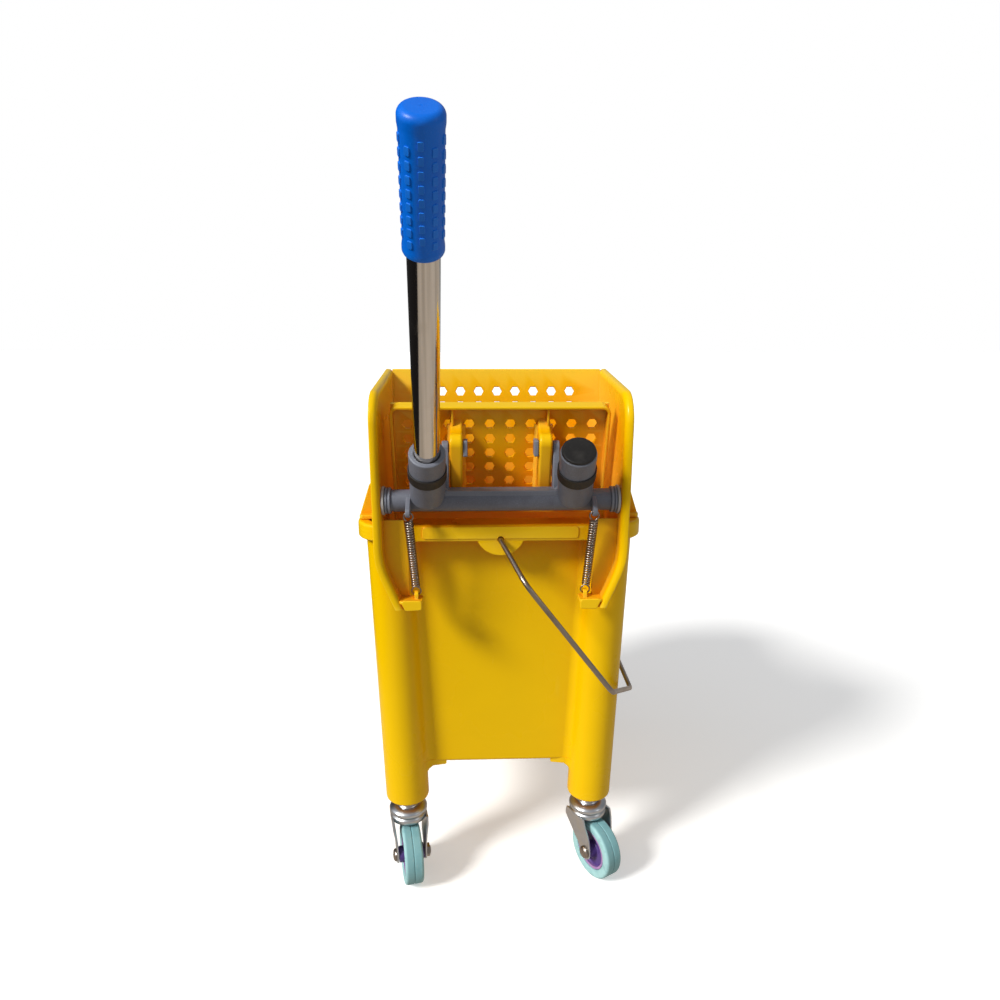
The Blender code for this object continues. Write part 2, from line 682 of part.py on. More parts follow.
def plate_mesh():
    edge = PLATE_HALF_WIDTH - 0.0002
    sheet = box((-edge, PLATE_OFFSET, PLATE_FOOT), (edge, PLATE_OFFSET + SHEET, PLATE_TOP))
    rows = [0.0255 + i * HOLE_PITCH_Z for i in range(6)]
    sheet = cut(sheet, hexagons(centred(10, HOLE_PITCH_X), rows, "Y", 0.01, 0.04))
    parts = [box((-edge, 0.0115, PLATE_TOP - 0.003), (edge, 0.024, PLATE_TOP))]
    for side in (-1, 1):
        parts += [plate_side(side), plate_ear(side), plate_rib(side * 0.0447, 0.098, 0.1205)]
        trunnion = sorted((side * (edge - 0.001), side * (SIDE_INNER_X + SIDE_THICK + 0.001)))
        parts.append(rod(PLATE_PIN_HOLE_R - GAP, "X", *trunnion, (0, 0), 12))
    return unite(sheet, *parts)


# ---- springs and bail -----------------------------------------------------------------------------
def spring_mesh(side):
    """Outer form of a return spring: its close coil and an end loop at each end."""
    x, y, z = SPRING_HOOK
    bottom = Vector((side * x, y, z))
    top = Vector((side * SPRING_LUG_X, SPRING_LUG[0], SHAFT_Z + SPRING_LUG[1]))
    line = top - bottom
    turn = Vector((0, 0, 1)).rotation_difference(line.normalized()).to_matrix().to_4x4()
    frame = Matrix.Translation(bottom) @ turn
    length = line.length
    reach = 2 * SPRING_LOOP_R
    end = length - reach
    coil = turned([(0, reach), (SPRING_R, reach), (SPRING_R, end), (0, end)], 12, frame)
    wire = circle(SPRING_WIRE_R, 4, (SPRING_LOOP_R, 0))
    loops = []
    for centre in (SPRING_LOOP_R, length - SPRING_LOOP_R):
        upright = frame @ Matrix.Translation((0, 0, centre)) @ Matrix.Rotation(pi / 2, 4, "X")
        loops.append(turned(wire, 12, upright, ring=True))
    return unite(coil, *loops)


def rounded_path(corners, steps=5):
    """Points of a path through (x, y, radius) corners, each rounded to its radius."""
    path = [Vector(corners[0][:2])]
    for before, here, after in zip(corners, corners[1:], corners[2:]):
        point = Vector(here[:2])
        into = (Vector(before[:2]) - point).normalized()
        away = (Vector(after[:2]) - point).normalized()
        half = into.angle(away) / 2
        reach = here[2] / (sin(half) / cos(half))
        hub = point + (into + away).normalized() * (here[2] / sin(half))
        first, last = point + into * reach - hub, point + away * reach - hub
        turn = atan2(first.x * last.y - first.y * last.x, first.dot(last))
        for i in range(steps + 1):
            angle = turn * i / steps
            path.append(hub + Vector((first.x * cos(angle) - first.y * sin(angle),
                                      first.x * sin(angle) + first.y * cos(angle))))
    path.append(Vector(corners[-1][:2]))
    return path


def bail_curve():
    """Wire bail in its own plane: X is the reach from the pivots, Y runs along the bucket."""
    rim = MID_Y - RIM_NEAR_Y
    reach, splay = BAIL_ARM
    grip_reach, grip_half = BAIL_GRIP
    shoulder, flare = BAIL_SHOULDER
    half = [(-0.009, rim - 0.0105, 0), (0.0, rim - 0.0105, 0.0045), (0.0, rim + 0.0040, 0.006)]
    half += [(shoulder, rim + flare, 0.020), (reach, rim + splay, 0.012), (grip_reach, grip_half, 0.020)]
    corners = [(x, -y, r) for x, y, r in half] + [(x, y, r) for x, y, r in reversed(half)]
    path = rounded_path(corners)
    curve = bpy.data.curves.new("bail_handle", "CURVE")
    curve.dimensions = "3D"
    curve.bevel_depth = BAIL_WIRE_R
    curve.bevel_resolution = 2
    curve.use_fill_caps = True
    spline = curve.splines.new("POLY")
    spline.points.add(len(path) - 1)
    for point, spot in zip(spline.points, path):
        point.co = (spot.x, spot.y, 0, 1)
    return curve


# ---- casters --------------------------------------------------------------------------------------
def stem_mesh():
    """Grip-ring stem with the hexagon nut under the leg."""
    nut_low, nut_high = CUP_TOP_Z + GAP, LEG_BOTTOM_Z - GAP
    stem = turned([(0, nut_low + 0.001), (STEM_R, nut_low + 0.001), (STEM_R, STEM_TOP_Z - 0.002),
                   (STEM_R - 0.0015, STEM_TOP_Z), (0, STEM_TOP_Z)], 12)
    return unite(stem, rod(0.0115, "Z", nut_low, nut_high, (0, 0), 6))


def cup_mesh():
    """Upper race of the swivel."""
    low = CROWN_Z[1] + GAP
    profile = [(0, low), (CUP_R - 0.002, low), (CUP_R - 0.002, low + 0.002)]
    profile += [(CUP_R, low + 0.003), (CUP_R, low + 0.006)]
    profile += [(CUP_R - 0.003, CUP_TOP_Z), (0, CUP_TOP_Z)]
    return turned(profile, 16)


def fork_mesh():
    """Crown and two plates, drawn on the swivel's axis with the wheel trailing towards -Y."""
    low, high = CROWN_Z
    edge = CUP_R - 0.0005
    crown = turned([(0, low), (edge - 0.0035, low), (edge, low + 0.002), (edge, high - 0.002),
                    (edge - 0.002, high), (0, high)], 16)
    plates = []
    outline = [(-0.016, low + 0.003), (0.013, low + 0.003), (0.010, 0.056)]
    outline += [(-CASTER_TRAIL + 0.008, WHEEL_R - 0.004)]
    outline += arc((-CASTER_TRAIL, WHEEL_R), 0.0085, -30, -180, 5)
    outline += [(-CASTER_TRAIL - 0.006, 0.050)]
    for side in (-1, 1):
        inner, outer = sorted((side * (FORK_HALF - FORK_PLATE), side * FORK_HALF))
        plate = prism(outline, "X", inner, outer)
        bore = rod(AXLE_R + GAP, "X", inner - 0.005, outer + 0.005, (-CASTER_TRAIL, WHEEL_R), 12)
        plates.append(cut(plate, bore))
    return unite(crown, *plates)


def axle_mesh():
    """Axle bolt with its head and nut, along X on the wheel's axis."""
    outside = FORK_HALF + GAP
    bolt = rod(AXLE_R, "X", -outside - 0.001, outside + 0.001, (0, 0), 12)
    head = rod(0.0068, "X", -outside - 0.0036, -outside, (0, 0), 12)
    nut = rod(0.0070, "X", outside, outside + 0.0045, (0, 0), 6)
    return unite(bolt, head, nut)


def hub_mesh():
    bore = AXLE_R + GAP
    web, hub, face, seat = 0.005, 0.0135, 0.0085, HUB_R - 0.0025
    right = [(bore, hub), (0.0085, hub), (0.0085, web), (seat, web), (seat, face), (HUB_R, face)]
    left = [(r, -x) for r, x in reversed(right)]
    return turned(right + left, 16, Matrix.Rotation(pi / 2, 4, "Y"), ring=True)


def tyre_mesh():
    inside, low = HUB_R + GAP, WHEEL_R - 0.0035
    right = [(inside, WHEEL_HALF - 0.0018), (low - 0.001, WHEEL_HALF)]
    right += [(WHEEL_R - 0.0012, WHEEL_HALF - 0.0020), (WHEEL_R, WHEEL_HALF - 0.0050)]
    left = [(r, -x) for r, x in reversed(right)]
    return turned(right + left, 24, Matrix.Rotation(pi / 2, 4, "Y"), ring=True)


def build_caster(name, x_sign, far, root, meshes):
    x, y = caster_place(x_sign, far)
    mount = empty(f"{name}_mount", root, (x, y, 0))
    place(f"caster_{name}_stem", meshes["stem"].copy(), "zinc", mount)
    place(f"caster_{name}_cup", meshes["cup"].copy(), "zinc", mount)
    swivel = empty(f"{name}_swivel", mount, rotation=(0, 0, radians(CASTER_YAW[name])))
    place(f"caster_{name}_fork", meshes["fork"].copy(), "zinc", swivel)
    axle = empty(f"{name}_axle", swivel, (0, -CASTER_TRAIL, WHEEL_R))
    place(f"caster_{name}_axle_bolt", meshes["axle"].copy(), "steel", axle)
    place(f"caster_{name}_hub", meshes["hub"].copy(), "hub_plastic", axle)
    place(f"caster_{name}_tyre", meshes["tyre"].copy(), "tyre", axle)


# ---- assembly -------------------------------------------------------------------------------------
def build_casters(root):
    meshes = {"stem": stem_mesh(), "cup": cup_mesh(), "fork": fork_mesh(), "axle": axle_mesh(),
              "hub": hub_mesh(), "tyre": tyre_mesh()}
    for name, x_sign, far in (("near_left", -1, False), ("near_right", 1, False),
                              ("far_left", -1, True), ("far_right", 1, True)):
        build_caster(name, x_sign, far, root, meshes)
    for mesh in meshes.values():
        bpy.data.meshes.remove(mesh)


def build_crank(wringer):
    shaft = empty("crank_axis", wringer, (0, 0, SHAFT_Z))
    place("crank_shaft", crank_mesh(), "grey_plastic", shaft)
    for side, word in ((-1, "left"), (1, "right")):
        place(f"crank_pin_{word}", crank_pin_mesh(side), "grey_plastic", shaft)
        inside, (low, high) = SOCKET_R + GAP, RING_SPAN
        profile = [(inside, low), (RING_R, low), (RING_R, high), (inside, high)]
        ring = turned(profile, 24, socket_matrix(side), ring=True)
        place(f"socket_ring_{word}", ring, "black_rubber", shaft)
        bush_axis = empty(f"bush_axis_{word}", wringer, (0, 0, SHAFT_Z))
        place(f"shaft_bush_{word}", bush_mesh(side), "white_plastic", bush_axis)
    top = SOCKET_LENGTH
    cap = turned([(0, top - 0.009), (SOCKET_BORE_R - GAP, top - 0.009), (SOCKET_BORE_R - GAP, top + GAP),
                  (0.0148, top + GAP), (0.0150, top + 0.0022), (0.0138, top + 0.0032), (0, top + 0.0032)],
                 24, socket_matrix(1))
    place("socket_cap", cap, "black_rubber", shaft)
    frame = socket_matrix(-1)
    inner = TUBE_R - TUBE_WALL
    low, high = 0.0165, LEVER_LENGTH - 0.0050
    tube = turned([(inner, low), (TUBE_R, low), (TUBE_R, high), (inner, high)], 24, frame, ring=True)
    place("lever_tube", tube, "chrome", shaft)
    place("lever_grip", turned(grip_profile(), 20, frame), "blue_plastic", shaft)


def build_wringer(root):
    wringer = empty("wringer_seat", root)
    place("wringer_frame", wringer_mesh(), "yellow_plastic", wringer)
    build_crank(wringer)
    hinge = empty("plate_axis", wringer, (0, *PLATE_HINGE), (PLATE_LEAN, 0, 0))
    place("press_plate", plate_mesh(), "yellow_plastic", hinge)
    for side, word in ((-1, "left"), (1, "right")):
        place(f"return_spring_{word}", spring_mesh(side), "steel", wringer)


def build_bail(root):
    pivot = empty("bail_axis", root, (0, MID_Y, BAIL_PIVOT_Z), (0, BAIL_ANGLE, 0))
    wire = link("bail_handle", bail_curve(), pivot)
    wire.data.materials.append(MATERIALS["steel"])


def centre_on_base(root):
    """Moves the root so that the trolley's box stands centred on the origin."""
    graph = bpy.context.evaluated_depsgraph_get()
    low, high = Vector((1e9,) * 3), Vector((-1e9,) * 3)
    for piece in bpy.context.scene.objects:
        if piece.type == "EMPTY":
            continue
        shown = piece.evaluated_get(graph)
        mesh = shown.to_mesh()
        for vertex in mesh.vertices:
            spot = shown.matrix_world @ vertex.co
            low = Vector(map(min, low, spot))
            high = Vector(map(max, high, spot))
        shown.to_mesh_clear()
    root.location = (-(low.x + high.x) / 2, -(low.y + high.y) / 2, -low.z)


def build():
    root = empty("trolley_root", None)
    place("bucket_shell", bucket_mesh(), "yellow_plastic", root)
    build_wringer(root)
    build_bail(root)
    build_casters(root)
    centre_on_base(root)


clear_scene()
MATERIALS = make_materials()
build()
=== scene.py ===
"""Looks of the mop bucket trolley with a lever-operated press wringer.

Every piece is drawn in metres in the layout's own coordinates: +Z up, Y = 0 on the wringer's crank shaft,
+Y towards the far end of the bucket, Z = 0 on the floor.  LAYOUT then sets it round the frame.
"""
import json
from math import acos, atan2, cos, degrees, exp, hypot, log, pi, radians, sin

import bmesh
import bpy
from mathutils import Matrix, Vector


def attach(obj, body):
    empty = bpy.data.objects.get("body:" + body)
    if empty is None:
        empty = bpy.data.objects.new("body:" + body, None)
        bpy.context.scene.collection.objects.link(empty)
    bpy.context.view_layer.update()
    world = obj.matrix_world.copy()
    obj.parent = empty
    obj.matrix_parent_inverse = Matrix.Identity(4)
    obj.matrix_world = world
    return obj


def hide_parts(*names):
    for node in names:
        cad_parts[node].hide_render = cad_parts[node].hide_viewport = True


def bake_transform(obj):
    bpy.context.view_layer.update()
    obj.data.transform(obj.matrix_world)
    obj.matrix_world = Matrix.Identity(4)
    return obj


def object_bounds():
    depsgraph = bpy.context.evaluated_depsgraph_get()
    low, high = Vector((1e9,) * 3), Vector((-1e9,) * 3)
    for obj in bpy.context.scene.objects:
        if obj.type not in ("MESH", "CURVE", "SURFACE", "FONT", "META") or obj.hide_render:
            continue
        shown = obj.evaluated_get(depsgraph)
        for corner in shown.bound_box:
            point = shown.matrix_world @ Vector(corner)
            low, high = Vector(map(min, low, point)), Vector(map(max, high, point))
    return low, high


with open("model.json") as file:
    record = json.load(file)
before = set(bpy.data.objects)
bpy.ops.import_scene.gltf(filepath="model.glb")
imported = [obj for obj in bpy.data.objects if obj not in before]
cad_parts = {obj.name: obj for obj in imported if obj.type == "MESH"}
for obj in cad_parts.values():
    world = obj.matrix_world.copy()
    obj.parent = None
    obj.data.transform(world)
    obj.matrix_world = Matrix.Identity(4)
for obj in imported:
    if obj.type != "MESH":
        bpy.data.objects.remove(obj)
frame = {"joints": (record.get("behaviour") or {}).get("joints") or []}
CAD_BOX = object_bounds()
JOINTS = {joint["name"]: joint for joint in frame["joints"]}

# ---- bucket ---------------------------------------------------------------------------------------
RIM_Z = 0.418
RIM_HALF_WIDTH = 0.1382
RIM_NEAR_Y = 0.005
RIM_LENGTH = 0.400
RIM_CORNER = 0.031
RIM_SKIRT = 0.016
RIM_THICK = 0.003
RIM_BAR_HALF = 0.0745
MID_Y = RIM_NEAR_Y + RIM_LENGTH / 2
WALL = 0.003
TANK_BOTTOM_Z = 0.136
TANK_FLOOR = 0.004
BODY_TOP_Z = 0.400
BODY_HALF_WIDTH = 0.131
SIDE_DRAFT = 0.0224
COLUMN_TOP_Y = 0.0145
COLUMN_DRAFT = 0.0517
COLUMN_RADIUS = 0.0234
COLUMN_BLEND = 0.012
PANEL_RECESS_TOP = 0.0155
PANEL_RECESS_BOTTOM = 0.0214
SIDE_RECESS = 0.008
LEG_BOTTOM_Z = 0.0945
LEG_BOSS = 0.0445               # reach of the boss round a leg's root
LEG_BOSS_DROP = 0.0042
LEG_FILLET = 0.010
BAIL_LUG_RADIUS = 0.024
BAIL_LUG_THICK = 0.0038
BAIL_PIVOT_Z = 0.404

# ---- wringer --------------------------------------------------------------------------------------
SHAFT_Z = 0.444
SIDE_INNER_X = 0.110
SHEET = 0.003
FLANGE_X = 0.118
FLANGE_BEND = 0.0052            # radius of the rolled edge round the mouth
FLANGE_DEPTH = 0.018            # depth of the rolled edge and of a wing
MOUTH_Y = -0.0158
MOUTH_TOP_Z = 0.5445
MOUTH_RADIUS = 0.0285
WING_REAR_Y = 0.003
WING_WAIST_Z = 0.385
WING_SLOPE = 0.42
WING_BOTTOM_Z = 0.340
WING_SHELF_Z = 0.350
WING_INNER_X = 0.074
WING_PANEL_X = 0.087
WALL_FOOT_Z = 0.401
BACK_TOP = (0.1287, 0.555)
BACK_FOOT = (0.095, 0.396)
BASKET_NEAR_Y = 0.024
HOLE_R = 0.0052                 # drain hole, centre to corner
HOLE_PITCH_X = 0.0194
HOLE_PITCH_Z = 0.015
BACK_HOLE_TOP_Z = 0.5326
BACK_HOLE_ROWS = 2
BUSH_HOLE_R = 0.0113

# ---- crank and lever ------------------------------------------------------------------------------
SHAFT_R = 0.01025
SHAFT_END = 0.107
SHAFT_DISC_R = 0.01225
JOURNAL_R = 0.008
SOCKET_X = 0.068
SOCKET_R = 0.016
SOCKET_LENGTH = 0.0675
SOCKET_BORE_R = 0.0113
LEVER_TILT = radians(39.4)
LEVER_SPLAY = radians(2.6)
LEVER_LENGTH = 0.353
TUBE_R = 0.011
GRIP_R = 0.0137
GRIP_LENGTH = 0.089
CRANK_PIN = (0.012, 0.047)
CRANK_PIN_R = 0.004
CRANK_PIN_HEAD = (0.0308, 0.0349)
ARM_X = (0.0483, 0.0545)
ARM_FOOT = (0.0055, 0.0)
SPRING_LUG = (-0.018, -0.007)
SPRING_LUG_X = 0.085

# ---- press plate ----------------------------------------------------------------------------------
PLATE_HINGE = (0.035, 0.408)
PLATE_LEAN = radians(15.5)
PLATE_HALF_WIDTH = 0.103
PLATE_OFFSET = 0.0215
PLATE_TOP = 0.122
PLATE_FOOT = 0.004
EAR_X = (0.0352, 0.0475)
EAR_SLOT = (0.041, 0.0875)
EAR_SLOT_HALF = 0.0056

# ---- springs, bail and casters --------------------------------------------------------------------
SPRING_HOOK = (0.080, -0.005, 0.353)
SPRING_R = 0.0042
SPRING_WIRE_R = 0.0008
SPRING_LOOP_R = 0.0042
SPRING_TURNS = 27
BAIL_WIRE_R = 0.0025
BAIL_ANGLE = radians(52.5)
BAIL_SHOULDER = (0.034, 0.0515)
BAIL_ARM = (0.167, 0.0535)
BAIL_GRIP = (0.237, 0.145)
WHEEL_R = 0.03175
WHEEL_HALF = 0.010
HUB_R = 0.0215
CASTER_TRAIL = 0.0175
CUP_TOP_Z = 0.0845
CUP_R = 0.0208
CROWN_Z = (0.0665, 0.0745)
FORK_HALF = 0.0165
FORK_PLATE = 0.0022
STEM_R = 0.005
STEM_TOP_Z = 0.1245
AXLE_R = 0.004
CASTER_YAW = {"near_left": 12, "near_right": 30, "far_left": -20, "far_right": 16}

# ---- studio ---------------------------------------------------------------------------------------
LIGHT_TARGET = (0.0, 0.05, 0.32)
KEY_PLACE = (-2.00, -1.30, 2.10)
KEY_POWER = 3.5
GLEAM_PLACE = (1.5, -1.0, 1.1)
GLEAM_POWER = 2
WORLD_LIGHT = 0.42
WORLD_DARK = 0.03
FLOOR_GLOW = 0.35
FLOOR_REACH = 14
GROUND_COLOUR = (0.30, 0.26, 0.22)
GROUND_LIGHT = (0.52, 0.46, 0.40)
CAMERA_LENS = 25.85
CAMERA_PLACE = (-0.0254, -0.6467, 0.6051)
CAMERA_TURN = (radians(-2.16), radians(76.0), radians(0.13))

LAYOUT = Matrix.Translation(Vector(JOINTS["lever_press"]["pos_m"]) - Vector((0, 0, SHAFT_Z)))
SIDES = ((-1, "left"), (1, "right"))


# ---- solids ---------------------------------------------------------------------------------------
def to_mesh(solid, matrix=None):
    """Turns a bmesh into a mesh whose faces all point outwards."""
    if matrix is not None:
        bmesh.ops.transform(solid, matrix=matrix, verts=solid.verts)
    bmesh.ops.recalc_face_normals(solid, faces=solid.faces)
    mesh = bpy.data.meshes.new("solid")
    solid.to_mesh(mesh)
    solid.free()
    return mesh


def loft(loops, matrix=None, ring=False):
    """Solid through loops of equally many points, capped at both ends unless it closes in a ring."""
    solid = bmesh.new()
    rings = [[solid.verts.new(point) for point in loop] for loop in loops]
    count = len(rings[0])
    pairs = list(zip(rings, rings[1:]))
    if ring:
        pairs.append((rings[-1], rings[0]))
    for low, high in pairs:
        for i in range(count):
            j = (i + 1) % count
            solid.faces.new((low[i], low[j], high[j], high[i]))
    if not ring:
        solid.faces.new(rings[0])
        solid.faces.new(rings[-1])
    return to_mesh(solid, matrix)


def inset(outline, distance):
    """A closed outline moved inwards by a distance."""
    points = [Vector(point) for point in outline]
    after = points[1:] + points[:1]
    area = sum(a.x * b.y - b.x * a.y for a, b in zip(points, after))
    way = 1 if area > 0 else -1
    moved = []
    for i, here in enumerate(points):
        into = (here - points[i - 1]).normalized()
        away = (after[i] - here).normalized()
        normal = Vector((-into.y - away.y, into.x + away.x)) * way
        moved.append(here + normal * (distance / max(0.5, normal.length_squared / 2)))
    return moved


def slab(outline, axis, low, high, edge=0.0008, matrix=None, steps=3):
    """Outline extruded along an axis with rounded edges; its two values follow X, Y, Z order."""
    order = {"X": (2, 0, 1), "Y": (0, 2, 1), "Z": (0, 1, 2)}[axis]
    low, high = sorted((low, high))
    levels = []
    for i in range(steps + 1):
        turn = pi / 2 * i / steps
        levels.append((low + edge * (1 - cos(turn)), edge * (1 - sin(turn))))
    levels += [(low + high - depth, shrink) for depth, shrink in reversed(levels)]
    loops = []
    for depth, shrink in levels:
        flat = inset(outline, shrink) if shrink > 1e-7 else [Vector(point) for point in outline]
        loops.append([tuple((point.x, point.y, depth)[i] for i in order) for point in flat])
    return loft(loops, matrix)


def rounded(outline, radius, steps=4):
    """A closed outline whose corners are rounded to a radius."""
    points = [Vector(point) for point in outline]
    path = []
    for i, here in enumerate(points):
        before, after = points[i - 1], points[(i + 1) % len(points)]
        into, away = (before - here), (after - here)
        half = into.angle(away) / 2
        if half > radians(85):
            path.append(here)
            continue
        reach = min(radius * cos(half) / sin(half), into.length * 0.45, away.length * 0.45)
        size = reach * sin(half) / cos(half)
        into.normalize()
        away.normalize()
        hub = here + (into + away).normalized() * (size / sin(half))
        first, last = here + into * reach - hub, here + away * reach - hub
        turn = atan2(first.x * last.y - first.y * last.x, first.dot(last))
        for k in range(steps + 1):
            spin = Matrix.Rotation(turn * k / steps, 2)
            path.append(hub + spin @ first)
    return [tuple(point) for point in path]


def block(low, high, edge=0.0008, corner=0.0015, matrix=None):
    """Box with rounded upright corners and rounded edges."""
    outline = [(low[0], low[1]), (high[0], low[1]), (high[0], high[1]), (low[0], high[1])]
    return slab(rounded(outline, corner), "Z", low[2], high[2], edge, matrix)


def circle(radius, count, centre=(0, 0), start=0.0):
    turn = 2 * pi / count
    return [(centre[0] + radius * cos(start + i * turn), centre[1] + radius * sin(start + i * turn))
            for i in range(count)]


def rod(radius, axis, low, high, centre=(0, 0), count=32, matrix=None, edge=0.0004):
    return slab(circle(radius, count, centre), axis, low, high, edge, matrix)


def turned(profile, count=48, matrix=None, ring=False):
    """Solid of revolution about Z from (radius, height) points; a ring profile closes on itself."""
    solid = bmesh.new()
    rings = []
    for radius, height in profile:
        if radius == 0:
            rings.append([solid.verts.new((0, 0, height))])
        else:
            rings.append([solid.verts.new((x, y, height)) for x, y in circle(radius, count)])
    pairs = list(zip(rings, rings[1:]))
    if ring:
        pairs.append((rings[-1], rings[0]))
    for low, high in pairs:
        for i in range(count):
            j = (i + 1) % count
            corners = [low[i % len(low)], low[j % len(low)], high[j % len(high)], high[i % len(high)]]
            solid.faces.new(list(dict.fromkeys(corners)))
    return to_mesh(solid, matrix)


def tube(points, radius, sides=12, closed=False):
    """Round wire along a path."""
    points = [Vector(point) for point in points]
    count = len(points)
    aside = None
    loops = []
    for i, here in enumerate(points):
        before = points[i - 1] if closed or i else here
        after = points[(i + 1) % count] if closed or i < count - 1 else here
        along = (after - before).normalized()
        if aside is None:
            aside = along.orthogonal().normalized()
        aside = (aside - along * aside.dot(along)).normalized()
        other = along.cross(aside)
        loops.append([here + aside * x + other * y for x, y in circle(radius, sides)])
    return loft(loops, ring=closed)


def joined(*meshes):
    """Bodies gathered in one mesh."""
    solid = bmesh.new()
    for mesh in meshes:
        solid.from_mesh(mesh)
        bpy.data.meshes.remove(mesh)
    mesh = bpy.data.meshes.new("joined")
    solid.to_mesh(mesh)
    solid.free()
    return mesh


def combine(base, others, operation):
    """Base united with, or cut by, each other mesh in turn."""
    body = bpy.data.objects.new("combine_base", base)
    bpy.context.scene.collection.objects.link(body)
    for other in others:
        tool = bpy.data.objects.new("combine_tool", other)
        bpy.context.scene.collection.objects.link(tool)
        step = body.modifiers.new("step", "BOOLEAN")
        step.operation = operation
        step.solver = "EXACT"
        step.object = tool
        graph = bpy.context.evaluated_depsgraph_get()
        result = bpy.data.meshes.new_from_object(body.evaluated_get(graph))
        body.modifiers.clear()
        body.data = result
        bpy.data.objects.remove(tool, do_unlink=True)
        bpy.data.meshes.remove(other)
    result = body.data
    bpy.data.objects.remove(body, do_unlink=True)
    return result


def unite(base, *others):
    return combine(base, others, "UNION")


def cut(base, *others):
    return combine(base, others, "DIFFERENCE")


def mirrored(mesh):
    """The same mesh reflected in the plane X = 0."""
    solid = bmesh.new()
    solid.from_mesh(mesh)
    bmesh.ops.transform(solid, matrix=Matrix.Scale(-1, 4, (1, 0, 0)), verts=solid.verts)
    bmesh.ops.reverse_faces(solid, faces=solid.faces)
    copy = bpy.data.meshes.new("mirrored")
    solid.to_mesh(copy)
    solid.free()
    return copy


def arc(centre, radius, start, end, steps):
    """Points on an arc, its angles in degrees, both ends included."""
    angles = [radians(start + (end - start) * i / steps) for i in range(steps + 1)]
    return [(centre[0] + radius * cos(a), centre[1] + radius * sin(a)) for a in angles]


def centred(count, pitch):
    return [(i - (count - 1) / 2) * pitch for i in range(count)]


def perforated(x_span, z_span, columns, rows, thick, matrix=None, bevel=0.0004):
    """Sheet in the XZ plane, its front at Y = 0, with a hexagonal hole at every column and row."""
    xs = [x_span[0], *[(a + b) / 2 for a, b in zip(columns, columns[1:])], x_span[1]]
    zs = [z_span[0], *[(a + b) / 2 for a, b in zip(rows, rows[1:])], z_span[1]]
    solid = bmesh.new()
    for column, left, right in zip(columns, xs, xs[1:]):
        for row, low, high in zip(rows, zs, zs[1:]):
            rings = []
            for depth, radius in ((0, HOLE_R + bevel), (bevel, HOLE_R), (thick - bevel, HOLE_R),
                                  (thick, HOLE_R + bevel)):
                rings.append([solid.verts.new((x, depth, z)) for x, z in circle(radius, 6, (column, row))])
            for first, second in zip(rings, rings[1:]):
                for i in range(6):
                    j = (i + 1) % 6
                    solid.faces.new((first[i], first[j], second[j], second[i]))
            for depth, ring in ((0, rings[0]), (thick, rings[-1])):
                for level, hexagon in ((high, ring[0:4]), (low, [ring[3], ring[4], ring[5], ring[0]])):
                    first, last = (right, left) if level == high else (left, right)
                    around = [(last, row), (last, level), (first, level), (first, row)]
                    corners = [solid.verts.new((x, depth, z)) for x, z in around]
                    solid.faces.new(hexagon + corners)
    edges = [((a, level), (b, level)) for a, b in zip(xs, xs[1:]) for level in z_span]
    levels = sorted([*zs, *rows])
    edges += [((side, a), (side, b)) for a, b in zip(levels, levels[1:]) for side in x_span]
    for (x0, z0), (x1, z1) in edges:
        rim = [(x0, 0, z0), (x1, 0, z1), (x1, thick, z1), (x0, thick, z0)]
        solid.faces.new([solid.verts.new(point) for point in rim])
    bmesh.ops.remove_doubles(solid, verts=solid.verts, dist=0.00001)
    return to_mesh(solid, matrix)


